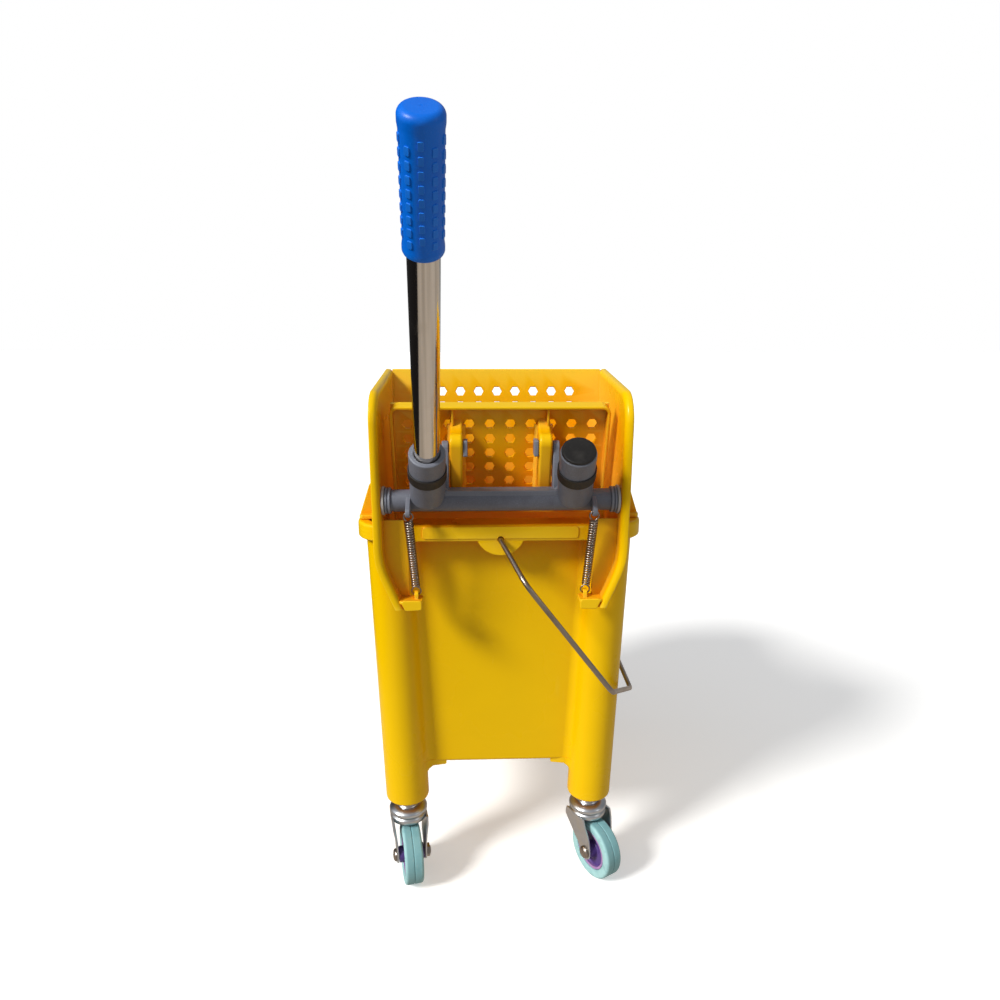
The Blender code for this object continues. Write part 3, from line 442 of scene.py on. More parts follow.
# ---- finishes -------------------------------------------------------------------------------------
class Finish:
    """A procedural material built round one Principled shader, in a piece's own coordinates."""

    def __init__(self, name, colour, roughness, metallic=0.0):
        self.material = bpy.data.materials.new(name)
        self.material.use_nodes = True
        self.tree = self.material.node_tree
        self.shader = self.tree.nodes["Principled BSDF"]
        self.shader.inputs["Metallic"].default_value = metallic
        self.place = self.node("ShaderNodeTexCoord").outputs["Object"]
        self.colour = self.rgb(colour)
        self.roughness = roughness
        self.normal = None

    def node(self, kind, **values):
        made = self.tree.nodes.new(kind)
        for key, value in values.items():
            if hasattr(made, key):
                setattr(made, key, value)
            else:
                made.inputs[key.replace("_", " ")].default_value = value
        return made

    def link(self, source, target):
        self.tree.links.new(source, target)

    def rgb(self, colour):
        made = self.node("ShaderNodeRGB")
        made.outputs[0].default_value = (*colour, 1.0)
        return made.outputs[0]

    def noise(self, scale, detail=3.0, stretch=None, distortion=0.0):
        """Noise value at a scale per metre, drawn out along an axis where stretch is given."""
        made = self.node("ShaderNodeTexNoise", Scale=scale, Detail=detail, Distortion=distortion)
        if stretch is None:
            self.link(self.place, made.inputs["Vector"])
        else:
            mapping = self.node("ShaderNodeMapping")
            mapping.inputs["Scale"].default_value = stretch
            self.link(self.place, mapping.inputs["Vector"])
            self.link(mapping.outputs[0], made.inputs["Vector"])
        return made.outputs["Fac"]

    def band(self, value, low, high, start=0.0, end=1.0):
        """Value from low to high mapped onto start to end and held there."""
        made = self.node("ShaderNodeMapRange")
        for key, number in (("From Min", low), ("From Max", high), ("To Min", start), ("To Max", end)):
            made.inputs[key].default_value = number
        self.link(value, made.inputs["Value"])
        return made.outputs[0]

    def sum(self, first, second, operation="ADD"):
        made = self.node("ShaderNodeMath", operation=operation)
        for source, socket in ((first, made.inputs[0]), (second, made.inputs[1])):
            if isinstance(source, (int, float)):
                socket.default_value = source
            else:
                self.link(source, socket)
        return made.outputs[0]

    def tint(self, colour, share):
        """Lays another colour over the one so far where share says."""
        made = self.node("ShaderNodeMix", data_type="RGBA")
        self.link(share, made.inputs["Factor"])
        self.link(self.colour, made.inputs["A"])
        made.inputs["B"].default_value = (*colour, 1.0)
        self.colour = made.outputs["Result"]
        return self

    def gloss(self, share, change):
        """Adds change times share to the roughness."""
        self.roughness = self.sum(self.roughness, self.sum(share, change, "MULTIPLY"))
        return self

    def bump(self, height, distance, strength=1.0):
        made = self.node("ShaderNodeBump", Strength=strength, Distance=distance)
        self.link(height, made.inputs["Height"])
        if self.normal is not None:
            self.link(self.normal, made.inputs["Normal"])
        self.normal = made.outputs["Normal"]
        return self

    def edges(self, colour, low, high, strength=0.5):
        """Pales the convex edges, as handling does."""
        worn = self.band(self.node("ShaderNodeNewGeometry").outputs["Pointiness"], low, high, 0, strength)
        return self.tint(colour, worn)

    def done(self, **values):
        self.link(self.colour, self.shader.inputs["Base Color"])
        self.link(self.roughness, self.shader.inputs["Roughness"])
        if self.normal is not None:
            self.link(self.normal, self.shader.inputs["Normal"])
        for key, value in values.items():
            self.shader.inputs[key.replace("_", " ")].default_value = value
        return self.material


def yellow_finish():
    """Glossy moulded polypropylene: slight waviness, fine orange peel, faint scuffs, and painted orange
    shade in its recesses and corners.
    """
    made = Finish("yellow_plastic", (0.84, 0.52, 0.0), 0.22)
    # Painted shade: where ambient occlusion finds the surface hemmed in, the colour is tinted deep orange.
    # This stands in for shade and bounce light in recesses and corners.
    painted_shade_occlusion = made.node("ShaderNodeAmbientOcclusion", Distance=0.14)
    painted_shade_occlusion.samples = 6
    made.tint((0.78, 0.19, 0.0), made.band(painted_shade_occlusion.outputs["AO"], 0.86, 0.25, 0, 0.85))
    cloud = made.noise(7, 4)
    made.tint((0.80, 0.45, 0.0), made.band(cloud, 0.45, 0.75, 0, 0.25))
    made.tint((0.95, 0.60, 0.0), made.band(made.noise(16, 3), 0.52, 0.8, 0, 0.22))
    scuffs = made.band(made.noise(140, 5, (1.0, 1.0, 0.08), 0.6), 0.66, 0.74)
    patchy = made.sum(scuffs, made.band(made.noise(11, 2), 0.5, 0.65), "MULTIPLY")
    made.tint((0.93, 0.68, 0.10), made.sum(patchy, 0.16, "MULTIPLY"))
    made.edges((0.97, 0.72, 0.09), 0.52, 0.60, 0.35)
    made.gloss(cloud, 0.12).gloss(patchy, 0.20)
    made.bump(made.noise(34, 2), 0.00035, 0.30).bump(made.noise(900, 2), 0.00004, 0.35)
    return made.done(Specular_IOR_Level=0.16)


def grey_finish():
    """Satin glass-filled plastic with a fine grain."""
    made = Finish("grey_plastic", (0.125, 0.133, 0.165), 0.42)
    grain = made.noise(1300, 3)
    made.tint((0.25, 0.27, 0.33), made.band(grain, 0.5, 0.72, 0, 0.45))
    made.tint((0.085, 0.090, 0.115), made.band(made.noise(60, 4), 0.5, 0.75, 0, 0.5))
    made.edges((0.42, 0.45, 0.52), 0.52, 0.60, 0.5)
    made.gloss(made.noise(45, 3), 0.16)
    made.bump(made.noise(38, 2), 0.0002, 0.35).bump(grain, 0.00006, 0.55)
    return made.done()


def rubber_finish():
    """Matt black rubber with a little dust."""
    made = Finish("black_rubber", (0.010, 0.008, 0.007), 0.50)
    made.tint((0.024, 0.021, 0.018), made.band(made.noise(420, 4), 0.5, 0.75, 0, 0.6))
    made.tint((0.10, 0.09, 0.08), made.band(made.noise(55, 5), 0.62, 0.8, 0, 0.25))
    made.gloss(made.noise(80, 3), 0.18)
    made.bump(made.noise(1500, 2), 0.00005, 0.5)
    return made.done()


def chrome_finish():
    """Plated steel tube: mirror bright, with long drawing lines and faint rub marks."""
    made = Finish("chrome", (0.66, 0.62, 0.57), 0.08, 1.0)
    lines = made.noise(900, 4, (1.0, 1.0, 0.012))
    rubbed = made.band(made.noise(60, 5, (1.0, 1.0, 0.35)), 0.56, 0.72)
    made.tint((0.62, 0.57, 0.50), made.sum(rubbed, 0.30, "MULTIPLY"))
    made.tint((0.70, 0.66, 0.60), made.band(made.noise(24, 3, (1.0, 1.0, 0.3)), 0.45, 0.7, 0, 0.35))
    made.gloss(lines, 0.09).gloss(rubbed, 0.12)
    made.bump(lines, 0.00003, 0.25)
    return made.done()


def blue_finish():
    """Grip plastic, slightly polished where the hand rubs."""
    made = Finish("blue_plastic", (0.0, 0.15, 0.74), 0.28)
    made.tint((0.0, 0.10, 0.60), made.band(made.noise(38, 4), 0.45, 0.75, 0, 0.4))
    made.tint((0.01, 0.20, 0.90), made.band(made.noise(700, 3), 0.55, 0.75, 0, 0.4))
    made.edges((0.05, 0.32, 0.95), 0.52, 0.60, 0.5)
    made.gloss(made.noise(60, 3), 0.18)
    made.bump(made.noise(1100, 3), 0.00005, 0.5)
    return made.done(Specular_IOR_Level=0.25)


def steel_finish():
    """Drawn wire with lengthwise lines and a brownish film."""
    made = Finish("steel", (0.34, 0.29, 0.25), 0.24, 1.0)
    lines = made.noise(1500, 3, (1.0, 1.0, 0.05))
    made.tint((0.15, 0.10, 0.07), made.band(made.noise(45, 4), 0.5, 0.75, 0, 0.45))
    made.tint((0.55, 0.52, 0.50), made.band(lines, 0.5, 0.8, 0, 0.3))
    made.gloss(lines, 0.14)
    made.bump(lines, 0.00003, 0.4)
    return made.done()


def zinc_finish():
    """Bright zinc plate with a faint yellow passivation."""
    made = Finish("zinc", (0.58, 0.60, 0.63), 0.22, 1.0)
    spangle = made.noise(170, 4)
    made.tint((0.60, 0.55, 0.42), made.band(made.noise(48, 3), 0.5, 0.75, 0, 0.45))
    made.tint((0.52, 0.54, 0.60), made.band(spangle, 0.5, 0.7, 0, 0.5))
    made.edges((0.85, 0.85, 0.84), 0.52, 0.60, 0.4)
    made.gloss(spangle, 0.20)
    made.bump(made.noise(520, 3), 0.00005, 0.4)
    return made.done()


def tyre_finish():
    """Soft teal tyre, paler and dusty towards its shoulders."""
    made = Finish("tyre", (0.20, 0.41, 0.44), 0.52)
    across = made.node("ShaderNodeSeparateXYZ")
    made.link(made.place, across.inputs[0])
    off_middle = made.node("ShaderNodeMath", operation="ABSOLUTE")
    made.link(across.outputs["X"], off_middle.inputs[0])
    shoulder = made.band(off_middle.outputs[0], WHEEL_HALF - 0.0034, WHEEL_HALF, 0, 0.75)
    made.tint((0.40, 0.66, 0.67), shoulder)
    made.tint((0.14, 0.33, 0.36), made.band(made.noise(110, 5), 0.5, 0.72, 0, 0.5))
    made.tint((0.42, 0.50, 0.48), made.band(made.noise(300, 4), 0.58, 0.8, 0, 0.35))
    made.gloss(made.noise(90, 3), 0.16)
    made.bump(made.noise(650, 3), 0.00008, 0.5)
    return made.done()


def hub_finish():
    """Purple hub whose rim, where it meets the tyre, is a paler lilac."""
    made = Finish("hub_plastic", (0.080, 0.042, 0.20), 0.40)
    across = made.node("ShaderNodeSeparateXYZ")
    made.link(made.place, across.inputs[0])
    squares = [made.sum(across.outputs[axis], across.outputs[axis], "MULTIPLY") for axis in ("Y", "Z")]
    radius = made.sum(made.sum(*squares), 0.5, "POWER")
    made.tint((0.42, 0.24, 0.46), made.band(radius, HUB_R - 0.0029, HUB_R - 0.0022, 0, 0.9))
    made.tint((0.15, 0.09, 0.33), made.band(made.noise(120, 4), 0.5, 0.75, 0, 0.6))
    made.gloss(made.noise(80, 3), 0.15)
    made.bump(made.noise(800, 2), 0.00005, 0.5)
    return made.done()


def white_finish():
    """Pale plastic of the bushes, greyed by wear."""
    made = Finish("white_plastic", (0.42, 0.41, 0.39), 0.42)
    made.tint((0.30, 0.28, 0.25), made.band(made.noise(90, 4), 0.5, 0.75, 0, 0.6))
    made.gloss(made.noise(70, 3), 0.15)
    made.bump(made.noise(900, 2), 0.00005, 0.4)
    return made.done()


# ---- pieces ---------------------------------------------------------------------------------------
def show(name, mesh, finish, body, place=None, sharp=38, blend=None):
    """A finished piece: its mesh drawn in the place's coordinates, riding on a body of the frame.

    With blend, the piece's transform is baked into its mesh and it rides on no body; the points in blend and
    the pair in body are not used.
    """
    mesh.name = name
    piece = bpy.data.objects.new(name, mesh)
    bpy.context.scene.collection.objects.link(piece)
    mesh.materials.clear()
    mesh.materials.append(FINISHES[finish])
    mesh.shade_smooth()
    mesh.set_sharp_from_angle(angle=radians(sharp))
    weighted = piece.modifiers.new("weighted", "WEIGHTED_NORMAL")
    weighted.keep_sharp = True
    piece.matrix_world = LAYOUT @ (place or Matrix.Identity(4))
    if blend is None:
        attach(piece, body)
    else:
        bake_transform(piece)
    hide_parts(name.removesuffix("_look"))
    return piece


# ---- bucket ---------------------------------------------------------------------------------------
def body_size(z):
    """Half width, column front and end panel recess of the bucket's outside at a height."""
    drop = BODY_TOP_Z - z
    share = drop / (BODY_TOP_Z - TANK_BOTTOM_Z)
    depth = PANEL_RECESS_TOP + (PANEL_RECESS_BOTTOM - PANEL_RECESS_TOP) * share
    return BODY_HALF_WIDTH - drop * SIDE_DRAFT, COLUMN_TOP_Y + drop * COLUMN_DRAFT, depth


def column_centre(z):
    half, front, _ = body_size(z)
    return half - COLUMN_RADIUS, front + COLUMN_RADIUS


def quadrant(z, shrink):
    """A quarter of the body's outline, from the near panel round one column to the side panel."""
    _, _, end_recess = body_size(z)
    x, y = column_centre(z)
    outer = COLUMN_RADIUS - shrink
    inner = COLUMN_BLEND + shrink
    reach = COLUMN_RADIUS + COLUMN_BLEND
    end_turn = acos(1 - end_recess / reach)
    side_turn = acos(1 - SIDE_RECESS / reach)
    end_hub = (x - reach * sin(end_turn), y - reach * cos(end_turn))
    side_hub = (x + reach * cos(side_turn), y + reach * sin(side_turn))
    points = arc(end_hub, inner, 90, 90 - degrees(end_turn), 9)
    points += arc((x, y), outer, -90 - degrees(end_turn), degrees(side_turn), 30)[1:]
    points += arc(side_hub, inner, 180 + degrees(side_turn), 180, 6)[1:]
    return points


def all_round(points, z):
    """A quarter outline mirrored to all four corners, as one loop in order."""
    far = [(x, 2 * MID_Y - y) for x, y in reversed(points)]
    right = points + far
    left = [(-x, y) for x, y in reversed(right)]
    return [(x, y, z) for x, y in right + left]


def body_loop(z, shrink=0.0):
    return all_round(quadrant(z, shrink), z)


def rim_loop(z, shrink):
    """The rim's plain rounded rectangle, its points matched to those of the body below it."""
    x_hub = RIM_HALF_WIDTH - RIM_CORNER
    y_hub = RIM_NEAR_Y + RIM_CORNER
    radius = RIM_CORNER - shrink
    x0, y0 = column_centre(RIM_Z)
    points = []
    for x, y in quadrant(RIM_Z, 0):
        angle = atan2(y - y0, x - x0)
        if x <= x0:
            points.append((x * x_hub / x0, y_hub - radius))
        elif y >= y0:
            points.append((x_hub + radius, y_hub + (y - y0)))
        else:
            points.append((x_hub + radius * cos(angle), y_hub + radius * sin(angle)))
    return all_round(points, z)


def bucket_mesh():
    under = RIM_Z - RIM_THICK
    foot = RIM_Z - RIM_SKIRT
    half = RIM_THICK / 2
    heel = 0.004
    loops = []
    for turn in (0, 30, 60, 90):
        angle = radians(turn)
        loops.append(body_loop(TANK_BOTTOM_Z + heel * (1 - sin(angle)), heel * (1 - cos(angle))))
    loops = loops[::-1]
    for step in range(1, 6):
        loops.append(body_loop(TANK_BOTTOM_Z + heel + (under - 0.002 - TANK_BOTTOM_Z - heel) * step / 5))
    loops.append(body_loop(under, -0.002))
    loops.append(rim_loop(under, RIM_THICK + 0.002))
    loops.append(rim_loop(under - 0.002, RIM_THICK))
    for turn in range(0, 181, 30):
        angle = radians(turn)
        loops.append(rim_loop(foot + half * (1 - sin(angle)), half * (1 + cos(angle))))
    for turn in range(0, 91, 15):
        angle = radians(turn)
        loops.append(rim_loop(RIM_Z - RIM_THICK * (1 - sin(angle)), RIM_THICK * (1 - cos(angle))))
    for turn in range(90, -1, -30):
        angle = radians(turn)
        loops.append(body_loop(RIM_Z - 0.0015 * (1 - sin(angle)), WALL - 0.0015 * (1 - cos(angle))))
    inside = TANK_BOTTOM_Z + TANK_FLOOR
    for turn in range(0, 91, 30):
        angle = radians(turn)
        loops.append(body_loop(inside + 0.008 * (1 - sin(angle)), WALL + 0.008 * (1 - cos(angle))))
    shell = loft(loops)
    legs = [leg_mesh(x_sign, far) for x_sign in (-1, 1) for far in (False, True)]
    body = unite(shell, bail_lug(False), bail_lug(True), rim_bar(), *legs)
    return cut(body, bail_hole(False), bail_hole(True))


def rim_bar():
    """Raised bar along the near lip, between the wringer's wings."""
    low, high = RIM_Z - 0.0135, RIM_Z - 0.0012
    outline = [(-RIM_BAR_HALF, low), (RIM_BAR_HALF, low), (RIM_BAR_HALF, high), (-RIM_BAR_HALF, high)]
    return slab(rounded(outline, 0.0035, 6), "Y", RIM_NEAR_Y - 0.0012, RIM_NEAR_Y + 0.0014, 0.0011)


def leg_loop(z, reach, sink, x_sign, far, count=72):
    """Outline of a leg or its boss: a circle round the column's axis, sunk into the body's outline."""
    outline = [Vector((x, y)) for x, y, _ in body_loop(z)]
    sides = list(zip(outline, outline[1:] + outline[:1]))
    centre = Vector(column_centre(z))
    points = []
    for i in range(count):
        ray = Vector((cos(2 * pi * i / count), sin(2 * pi * i / count)))
        radius = reach
        for start, end in sides:
            edge = end - start
            across = ray.x * edge.y - ray.y * edge.x
            if abs(across) < 1e-12:
                continue
            offset = start - centre
            along = (offset.x * edge.y - offset.y * edge.x) / across
            share = (offset.x * ray.y - offset.y * ray.x) / across
            if along > 0 and -1e-9 <= share <= 1 + 1e-9:
                radius = min(radius, along - sink)
        point = centre + ray * radius
        y = 2 * MID_Y - point.y if far else point.y
        points.append((point.x * x_sign, y, z))
    return points


def leg_mesh(x_sign, far):
    """Boss, fillet and leg under one column, bored for its caster's stem."""
    low = TANK_BOTTOM_Z - LEG_BOSS_DROP
    soft = 0.0015
    levels = [(TANK_BOTTOM_Z + 0.040, COLUMN_RADIUS), (TANK_BOTTOM_Z + 0.0050, COLUMN_RADIUS)]
    levels += [(TANK_BOTTOM_Z + 0.0036, COLUMN_RADIUS), (TANK_BOTTOM_Z + 0.0034, LEG_BOSS)]
    levels += [(low + soft, LEG_BOSS), (low + soft * 0.3, LEG_BOSS - soft * 0.3)]
    levels.append((low, LEG_BOSS - soft))
    for turn in range(0, 91, 15):
        angle = radians(turn)
        levels.append((low - LEG_FILLET * (1 - cos(angle)), COLUMN_RADIUS + LEG_FILLET * (1 - sin(angle))))
    edge = 0.0028
    for turn in range(0, 91, 30):
        angle = radians(turn)
        levels.append((LEG_BOTTOM_Z + edge * (1 - sin(angle)), COLUMN_RADIUS - edge * (1 - cos(angle))))
    sinks = [max(-0.00004, 0.0004 * min(1, (z - TANK_BOTTOM_Z - 0.0075) / 0.030)) for z, reach in levels]
    leg = loft([leg_loop(z, reach, sink, x_sign, far) for (z, reach), sink in zip(levels, sinks)])
    x, y = caster_place(x_sign, far)
    return cut(leg, rod(STEM_R + 0.0008, "Z", LEG_BOTTOM_Z - 0.01, LEG_BOTTOM_Z + 0.034, (x, y), 24))


def caster_place(x_sign, far):
    x, y = column_centre(LEG_BOTTOM_Z)
    return x * x_sign, (2 * MID_Y - y if far else y)


def lug_span(far):
    low = RIM_NEAR_Y + 0.0004
    high = low + BAIL_LUG_THICK
    return (2 * MID_Y - high, 2 * MID_Y - low) if far else (low, high)


def bail_lug(far):
    """Half-round lug hanging from the lip for one of the bail's pivots."""
    centre = (0.0, RIM_Z - 0.0065)
    outline = arc(centre, BAIL_LUG_RADIUS, 180, 360, 40)
    outline += [(BAIL_LUG_RADIUS, RIM_Z - 0.002), (-BAIL_LUG_RADIUS, RIM_Z - 0.002)]
    return slab(outline, "Y", *lug_span(far), 0.0012)


def bail_hole(far):
    low, high = lug_span(far)
    return rod(BAIL_WIRE_R + 0.0009, "Y", low - 0.006, high + 0.006, (0, BAIL_PIVOT_Z), 24)


# ---- wringer frame --------------------------------------------------------------------------------
def wing_shift(z):
    """How far the side wall and its flange have come in towards the middle at a height."""
    soft = 0.006
    return WING_SLOPE * soft * log(1 + exp(min(60, (WING_WAIST_Z - z) / soft)))


def mouth_path():
    """Edge of the mouth from a wing's foot up and over to the back: (Y, Z, inward direction)."""
    heights = [WING_BOTTOM_Z + 0.0015 + (WALL_FOOT_Z - WING_BOTTOM_Z - 0.0015) * i / 14 for i in range(15)]
    path = [(MOUTH_Y, z, Vector((1, 0))) for z in heights]
    hub = Vector((MOUTH_Y + MOUTH_RADIUS, MOUTH_TOP_Z - MOUTH_RADIUS))
    top = Vector((BACK_TOP[0] + SHEET, BACK_TOP[1] + 0.0005))
    lean = degrees(atan2(top.y - MOUTH_TOP_Z, top.x - hub.x))
    for i in range(13):
        angle = radians(180 - (90 - lean) * i / 12)
        out = Vector((cos(angle), sin(angle)))
        spot = hub + out * MOUTH_RADIUS
        path.append((spot.x, spot.y, -out))
    path.append((top.x, top.y, path[-1][2]))
    return path


def edge_section(shift):
    """Rolled edge of a side wall as (X, depth) points from the wall's inside round to its outside."""
    bend, outer = FLANGE_BEND, FLANGE_X - shift
    wall = SIDE_INNER_X - shift
    tip = SHEET / 2
    points = [(wall, FLANGE_DEPTH)]
    points += arc((wall + bend, bend), bend, 180, 270, 9)
    points += arc((outer - tip, tip), tip, -90, 90, 6)
    points += arc((wall + bend, bend), bend - SHEET, 270, 180, 3)
    points.append((wall + SHEET, FLANGE_DEPTH))
    return points


def side_wall():
    """Side wall with its rolled edge; below the waist the rolled edge is the outside of a wing."""
    solid = bmesh.new()
    rows = []
    for y, z, inward in mouth_path():
        shift = wing_shift(z)
        row = []
        for x, depth in edge_section(shift):
            spot = Vector((y, z)) + inward * depth
            row.append(solid.verts.new((x, spot.x, spot.y)))
        rows.append(row)
    for low, high in zip(rows, rows[1:]):
        for i in range(len(low) - 1):
            solid.faces.new((low[i], low[i + 1], high[i + 1], high[i]))
    foot, rest = rows[:15], rows[14:]
    solid.faces.new(rows[0])
    solid.faces.new(rows[-1])
    for low, high in zip(foot, foot[1:]):
        solid.faces.new((low[0], high[0], high[-1], low[-1]))
    foot_y, foot_z = BACK_FOOT
    seat = RIM_Z + 0.0003
    outline = [(foot_y + SHEET, foot_z), (BASKET_NEAR_Y + 0.006, foot_z), (BASKET_NEAR_Y, foot_z + 0.006)]
    outline += [(BASKET_NEAR_Y, seat), (WING_REAR_Y, seat)]
    inner = [solid.verts.new((SIDE_INNER_X, y, z)) for y, z in outline]
    outer = [solid.verts.new((SIDE_INNER_X + SHEET, y, z)) for y, z in outline]
    inner_loop = [row[0] for row in rest] + inner
    outer_loop = [row[-1] for row in rest] + outer
    solid.faces.new(inner_loop)
    solid.faces.new(outer_loop)
    rim = range(len(rest) - 1, len(inner_loop))
    for i in rim:
        j = (i + 1) % len(inner_loop)
        solid.faces.new((inner_loop[i], inner_loop[j], outer_loop[j], outer_loop[i]))
    wall = to_mesh(solid)
    bush = rod(BUSH_HOLE_R, "X", 0.10, 0.13, (0, SHAFT_Z), 40)
    pin = rod(0.0043, "X", 0.10, 0.13, PLATE_HINGE, 24)
    return cut(wall, bush, pin)


def wing_back():
    """Rear panel of a wing, behind its spring."""
    heights = [WING_BOTTOM_Z + 0.002, 0.355, 0.370, 0.380, 0.390, 0.425]
    outline = [(SIDE_INNER_X + 0.0012 - wing_shift(z), z) for z in heights]
    outline += [(WING_PANEL_X + 0.004, 0.425), (WING_PANEL_X + 0.002, 0.408), (WING_PANEL_X, 0.385)]
    outline += [(WING_PANEL_X, WING_BOTTOM_Z + 0.002)]
    return slab(outline, "Y", WING_REAR_Y - 0.003, WING_REAR_Y - 0.0003, 0.0008)


def wing_shelf():
    """Shelf under the spring, its front edge turned down."""
    outer = SIDE_INNER_X + 0.001 - wing_shift(WING_SHELF_Z)
    low = (WING_INNER_X, MOUTH_Y + 0.0006, WING_SHELF_Z - SHEET)
    shelf = block(low, (outer, WING_REAR_Y - 0.0006, WING_SHELF_Z), 0.0008, 0.0035)
    front = [(WING_INNER_X + 0.0006, WING_BOTTOM_Z + 0.001), (outer - 0.006, WING_BOTTOM_Z + 0.0004)]
    front += [(outer - 0.001, WING_SHELF_Z + 0.0008), (WING_INNER_X + 0.0006, WING_SHELF_Z + 0.0004)]
    lip = slab(rounded(front, 0.0025), "Y", MOUTH_Y + 0.0001, MOUTH_Y + 0.0026, 0.0010)
    return joined(shelf, lip)


def spring_hook():
    """Upright tab with a hole for the spring's end loop."""
    x, y, z = SPRING_HOOK
    outline = [(y - 0.0048, WING_SHELF_Z - 0.001), (y + 0.0048, WING_SHELF_Z - 0.001)]
    outline += arc((y, z), 0.0045, 0, 180, 20)
    tab = slab(outline, "X", x - 0.0019, x + 0.0019, 0.0007)
    return cut(tab, rod(0.0022, "X", x - 0.01, x + 0.01, (y, z), 20))


def hanger():
    """Lug that carries the wringer on the bucket's side rim, with its stiffening rib."""
    seat = RIM_Z + 0.0003
    root = SIDE_INNER_X + 0.001
    tip = RIM_HALF_WIDTH - 0.0018
    plate = block((root, 0.028, seat), (tip, 0.050, seat + 0.004), 0.0009, 0.004)
    rib = [(root, seat + 0.001), (tip - 0.0003, seat + 0.001), (tip - 0.0003, seat + 0.0045)]
    rib += [(0.127, seat + 0.032), (root, seat + 0.056)]
    return joined(plate, slab(rounded(rib, 0.004), "Y", 0.037, 0.041, 0.0009))


def wringer_mesh():
    (foot_y, foot_z), (top_y, top_z) = BACK_FOOT, BACK_TOP
    length = hypot(top_y - foot_y, top_z - foot_z)
    lean = atan2(top_y - foot_y, top_z - foot_z)
    edge = SIDE_INNER_X + 0.0006
    rows = sorted((BACK_HOLE_TOP_Z - i * HOLE_PITCH_Z - foot_z) / cos(lean) for i in range(BACK_HOLE_ROWS))
    upright = Matrix.Translation((0, foot_y, foot_z)) @ Matrix.Rotation(-lean, 4, "X")
    columns = centred(9, HOLE_PITCH_X)
    back = perforated((-edge, edge), (0.0006, length - 0.0012), columns, rows, SHEET, upright)
    roll = [(-edge, top_y + 0.0015, top_z - 0.0012), (edge, top_y + 0.0015, top_z - 0.0012)]
    flat = Matrix.Translation((0, 0, foot_z + SHEET)) @ Matrix.Rotation(-pi / 2, 4, "X")
    depth = (0.0385, foot_y + 0.001)
    floor = perforated((-edge, edge), depth, columns, [0.051, 0.066, 0.081], SHEET - 0.0003, flat)
    right = joined(side_wall(), wing_back(), wing_shelf(), spring_hook(), hanger())
    left = mirrored(right)
    return joined(right, left, back, floor, tube(roll, 0.0017, 16))


# ---- crank and lever ------------------------------------------------------------------------------
def socket_matrix(side):
    """Frame whose Z runs up a lever socket from the shaft's axis; side is -1 or 1."""
    lean = Matrix.Rotation(LEVER_TILT, 4, "X") @ Matrix.Rotation(-side * LEVER_SPLAY, 4, "Y")
    return Matrix.Translation((side * SOCKET_X, 0, 0)) @ lean


def crank_arm(side):
    y, z = CRANK_PIN
    tip = degrees(atan2(z, y - ARM_FOOT[0]))
    outline = arc(ARM_FOOT, 0.0068, tip + 90, tip + 270, 16)
    outline += arc(CRANK_PIN, 0.0066, tip - 90, tip + 90, 24)
    arm = slab(outline, "X", side * ARM_X[0], side * ARM_X[1], 0.0011)
    bore = rod(CRANK_PIN_R + 0.0003, "X", side * 0.045, side * 0.060, CRANK_PIN, 24)
    return cut(arm, bore)


def spring_lug(side):
    y, z = SPRING_LUG
    tip = degrees(atan2(z, y))
    outline = arc((0, 0), SHAFT_R - 0.0006, tip + 90, tip + 270, 16)
    outline += arc(SPRING_LUG, 0.0045, tip - 90, tip + 90, 16)
    middle = side * SPRING_LUG_X
    lug = slab(outline, "X", middle - 0.0021, middle + 0.0021, 0.0008)
    return cut(lug, rod(0.0022, "X", middle - 0.006, middle + 0.006, (y, z), 20))


def socket_mesh(side):
    """Blind socket for the lever: rounded foot and a rounded mouth."""
    top, wall = SOCKET_LENGTH, SOCKET_R - SOCKET_BORE_R
    profile = [(0, 0.0040), (0.0118, 0.0040)]
    profile += arc((0.0115, 0.0088), 0.0045, -75, 0, 5)
    profile += [(SOCKET_R, 0.020), (SOCKET_R, top - 0.0014)]
    rim = 0.0014
    profile += arc((SOCKET_R - rim, top - rim), rim, 30, 90, 2)
    profile += [(SOCKET_R - wall + 0.0009, top), (SOCKET_BORE_R, top - 0.0009)]
    profile += [(SOCKET_BORE_R, 0.0165), (0, 0.0165)]
    return turned(profile, 64, socket_matrix(side))


def crank_mesh():
    end, disc = SHAFT_END, SHAFT_DISC_R
    right = [(SHAFT_R, 0), (SHAFT_R, end - 0.0062), (SHAFT_R + 0.0007, end - 0.0056)]
    right += [(disc - 0.0005, end - 0.0055), (disc, end - 0.0050), (disc, end - 0.0034)]
    right += [(disc - 0.0009, end - 0.0030), (disc - 0.0009, end - 0.0024), (disc, end - 0.0020)]
    right += [(disc, end - 0.0006), (disc - 0.0006, end), (JOURNAL_R, end)]
    right += [(JOURNAL_R, end + 0.0068), (JOURNAL_R - 0.0004, end + 0.0072), (0, end + 0.0072)]
    left = [(radius, -x) for radius, x in reversed(right[1:])]
    parts = [turned(left + right[1:], 56, Matrix.Rotation(pi / 2, 4, "Y"))]
    rib = [(-0.0085, 0.0005), (0.0085, 0.0005), (0.0085, 0.0104), (-0.0085, 0.0104)]
    parts.append(slab(rounded(rib, 0.0009), "X", -0.062, 0.062, 0.0005))
    for side in (-1, 1):
        gusset = [(0.0620, 0.0095), (0.0475, 0.0095), (0.0500, 0.0108), (0.0560, 0.0155), (0.0620, 0.0175)]
        gusset = [(side * x, z) for x, z in gusset]
        parts.append(slab(gusset, "Y", -0.0060, 0.0075, 0.0006))
        parts += [socket_mesh(side), crank_arm(side), spring_lug(side)]
    return joined(*parts)


